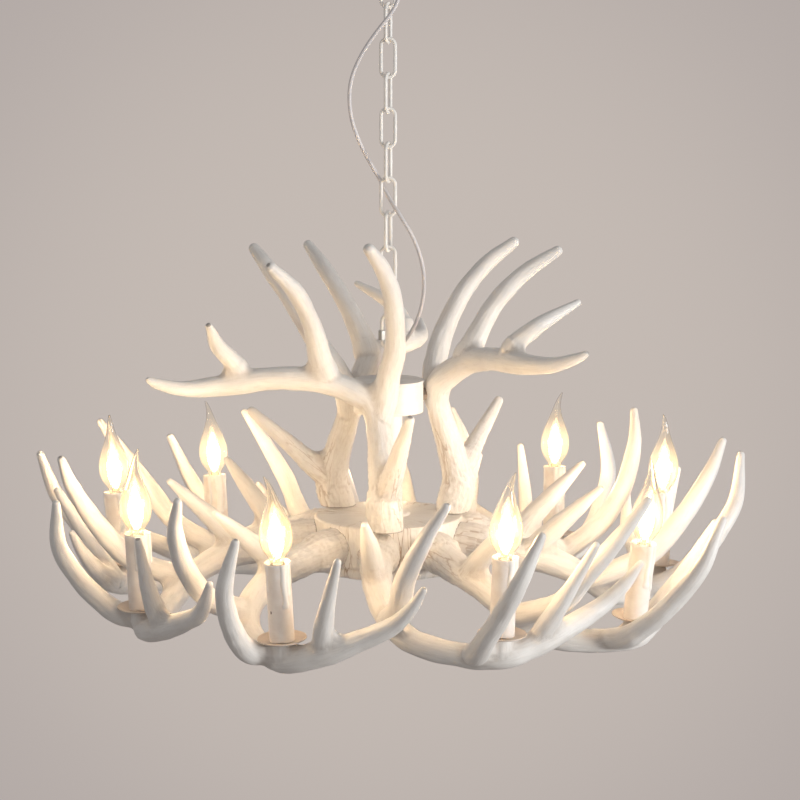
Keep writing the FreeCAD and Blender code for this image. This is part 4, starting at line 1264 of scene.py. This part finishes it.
# screwed metal cap, and the glass stem that holds the filament
def makeBulbCap(number, matrix):
    top = socketTop
    cap = [(0, top - 20), (3, top - 19.6), (5.4, top - 17)]
    for k in range(7):
        z = top - 15.5 + 2.2 * k
        cap += [(6.2, z), (6.75, z + 1.1)]
    cap += [(6.4, top + 1), (7.6, top + 2.5), (7.4, top + 4.5), (0, top + 4.5)]
    form = moved(turned(cap, 40), matrix)
    makePiece(f"bulbCap_{number}", form, "fixture", zincSteel, (), 50)
    stem = [(0, top + 4.5), (5.5, top + 4.6), (4.2, top + 9), (2.2, top + 15), (1.6, top + 18),
            (0, top + 18.6)]
    form = moved(turned(stem, 24), matrix)
    makePiece(f"bulbStem_{number}", form, "fixture", lampGlass, (), 60)


def makeFilamentCoil(number, matrix, look):
    top, low, high = socketTop, look["coilLow"], look["coilHigh"]
    coil = []
    steps = look["coilTurns"] * 20
    for k in range(steps + 1):
        t = k / steps
        a = 2 * math.pi * look["coilTurns"] * t
        reach = 0.6 + look["coilRadius"] * math.sin(math.pi * t ** 0.75)
        coil.append(Vector((reach * math.cos(a), reach * math.sin(a), top + low + (high - low) * t)) * mm)
    form = moved(sweptForm(coil, look["coilWire"] * mm, 6), matrix)
    filament = makePiece(f"filament_{number}", form, "fixture", hotFilament, (), 60)
    wires = []
    for feet in ([(1.0, 0, top + 14), (1.4, 0, top + 12), (0.6, 0, top + low)],
                 [(0, 0, top + 17), (0, 0, top + 30), (0.6, 0, top + high)]):
        wires.append(sweptForm([Vector(p) * mm for p in feet], look["leadWire"], 8))
    form = moved(joined(wires), matrix)
    makePiece(f"leadWires_{number}", form, "fixture", darkSteel, (), 60)
    return filament


# the light that a bulb throws, carried by its filament
def makeFlame(number, matrix, filament, height, look):
    lamp = bpy.data.lights.new(f"flame_{number}", "POINT")
    lamp.energy = look["lampPower"]
    lamp.color = look["lampTint"]
    lamp.shadow_soft_size = look["lampSize"]
    holder = linked(f"flame_{number}", lamp)
    holder.parent = filament
    bpy.context.view_layer.update()
    holder.matrix_world = Matrix.Translation(matrix @ Vector((0, 0, (height + 4) * mm)))


def makeCandleParts(look):
    reach, thick, rise = look["plateRadius"], look["plateThick"], look["plateRim"]
    plate = [(2.8, 0), (15, 0), (18, 0.25), (21, 0.9), (23.6, 1.7), (reach - 0.7, rise - thick + 0.1),
             (reach, rise - 0.9), (reach - 0.2, rise), (reach - 1, rise - 0.1), (23.2, 2.9), (20.6, 2.05),
             (17.8, 1.4), (15.5, thick), (2.8, thick)]
    low = socketTop - look["socketLength"]
    high = low + look["socketLength"]
    socket = [(0, low), (10.4, low), (10.75, low + 1), (10.75, high - 4), (10.3, high - 3.6),
              (10.3, high - 2.8), (10.75, high - 2.4), (10.75, high - 0.6), (10.2, high), (7.5, high),
              (7.5, low + 5), (0, low + 5)]
    frames = [candleFrame(azimuth) for azimuth in lowerTurns]
    plates = joined([moved(turned(plate, 72), matrix) for matrix in frames])
    sockets = joined([moved(turned(socket, 40), matrix) for matrix in frames])
    makePiece("dripPlates", plates, "fixture", creamMetal, ["drip_plates"], 50)
    makePiece("lampSockets", sockets, "fixture", socketPlastic, ["lamp_sockets"], 40)


for number, azimuth in enumerate(lowerTurns, 1):
    makeSleeve(number, azimuth, candleLook)
    makeBulb(number, azimuth, bulbLook)
makeCandleParts(candleLook)
stageDone("candles")

# CAD pieces that keep their own shape

finishes = {"mounting_bar": zincSteel, "hanging_stem": zincSteel, "stem_nut": zincSteel,
            "terminal_block": blockPlastic, "supply_lead": cordSheath, "threaded_rod": zincSteel,
            "rod_nuts": zincSteel, "drum_spacers": spacerPaint, "lower_antler_bolts": zincSteel,
            "upper_antler_bolts": zincSteel, "socket_brackets": zincSteel, "foot_screws": zincSteel}


def dressNodes():
    for name, material in finishes.items():
        mesh = nodes[name].data
        mesh.materials.clear()
        mesh.materials.append(material)


dressNodes()
stageDone("kept nodes")

# floor, world and lamps

stageLook = {"floorZ": -2.6, "floorReach": 3.2, "floorThick": 0.02, "floorTint": (186, 177, 171),
             "wallMiddle": shade(197, 187, 180), "wallEdge": shade(180, 171, 167),
             "glowWay": (0, 0.989, -0.15), "skyTint": (0.97, 0.97, 1.0, 1), "skyStrength": 0.3,
             "aim": (0, 0, -0.65)}
# place, size, power and tint
lampLook = {"sideLamp": ((2.4, -1.3, -0.6), 1.0, 50, (0.96, 0.98, 1)),
            "frontLamp": ((0.2, -2.8, 0.9), 1.4, 9, (1, 0.99, 0.97))}


def makeFloor():
    look = stageLook
    reach, thick, tint = look["floorReach"], look["floorThick"], look["floorTint"]
    form = turnedForm([(0, 0), (reach, 0), (reach, -thick), (0, -thick)], 96)
    floor = linked("studioFloor", meshOf("studioFloor", form))
    floor.location.z = look["floorZ"]
    floor.data.materials.append(makePainted("floorPaint", tint, tint, (0.7, 0.8), 60.0, 0.1))
    floor.visible_camera = False  # it only throws light back up, and the wall shows behind it


def makeWorld():
    look = stageLook
    world = bpy.data.worlds.new("studio")
    bpy.context.scene.world = world
    world.use_nodes = True
    tree = world.node_tree
    tree.nodes.clear()
    way = addNode(tree, "TexCoord").outputs["Generated"]
    facing = addNode(tree, "VectorMath", {"operation": "DOT_PRODUCT"}, i0=way, i1=look["glowWay"])
    pool = ramp(tree, facing.outputs["Value"], 0.976, 1.0)  # pool of light on the wall behind
    wall = blendColour(tree, pool, look["wallEdge"], look["wallMiddle"])
    seen = addNode(tree, "Background", Color=wall, Strength=1.0)
    glow = addNode(tree, "Background", Color=look["skyTint"], Strength=look["skyStrength"])
    path = addNode(tree, "LightPath").outputs
    direct = mathNode(tree, "MAXIMUM", path["Is Camera Ray"], path["Is Glossy Ray"])
    direct = mathNode(tree, "MAXIMUM", direct, path["Is Transmission Ray"])
    mix = addNode(tree, "MixShader", i0=direct, i1=glow.outputs[0], i2=seen.outputs[0])
    addNode(tree, "OutputWorld", Surface=mix.outputs[0])


def makeLamps():
    for name, (place, size, energy, tint) in lampLook.items():
        data = bpy.data.lights.new(name, "AREA")
        data.size = size
        data.energy = energy
        data.color = tint
        lamp = linked(name, data)
        lamp.location = place
        towards = Vector(stageLook["aim"]) - Vector(place)
        lamp.rotation_euler = towards.to_track_quat("-Z", "Y").to_euler()


makeFloor()
makeWorld()
makeLamps()
bpy.context.scene.view_settings.view_transform = "Standard"
stageDone("stage")

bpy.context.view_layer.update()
stageDone("done")
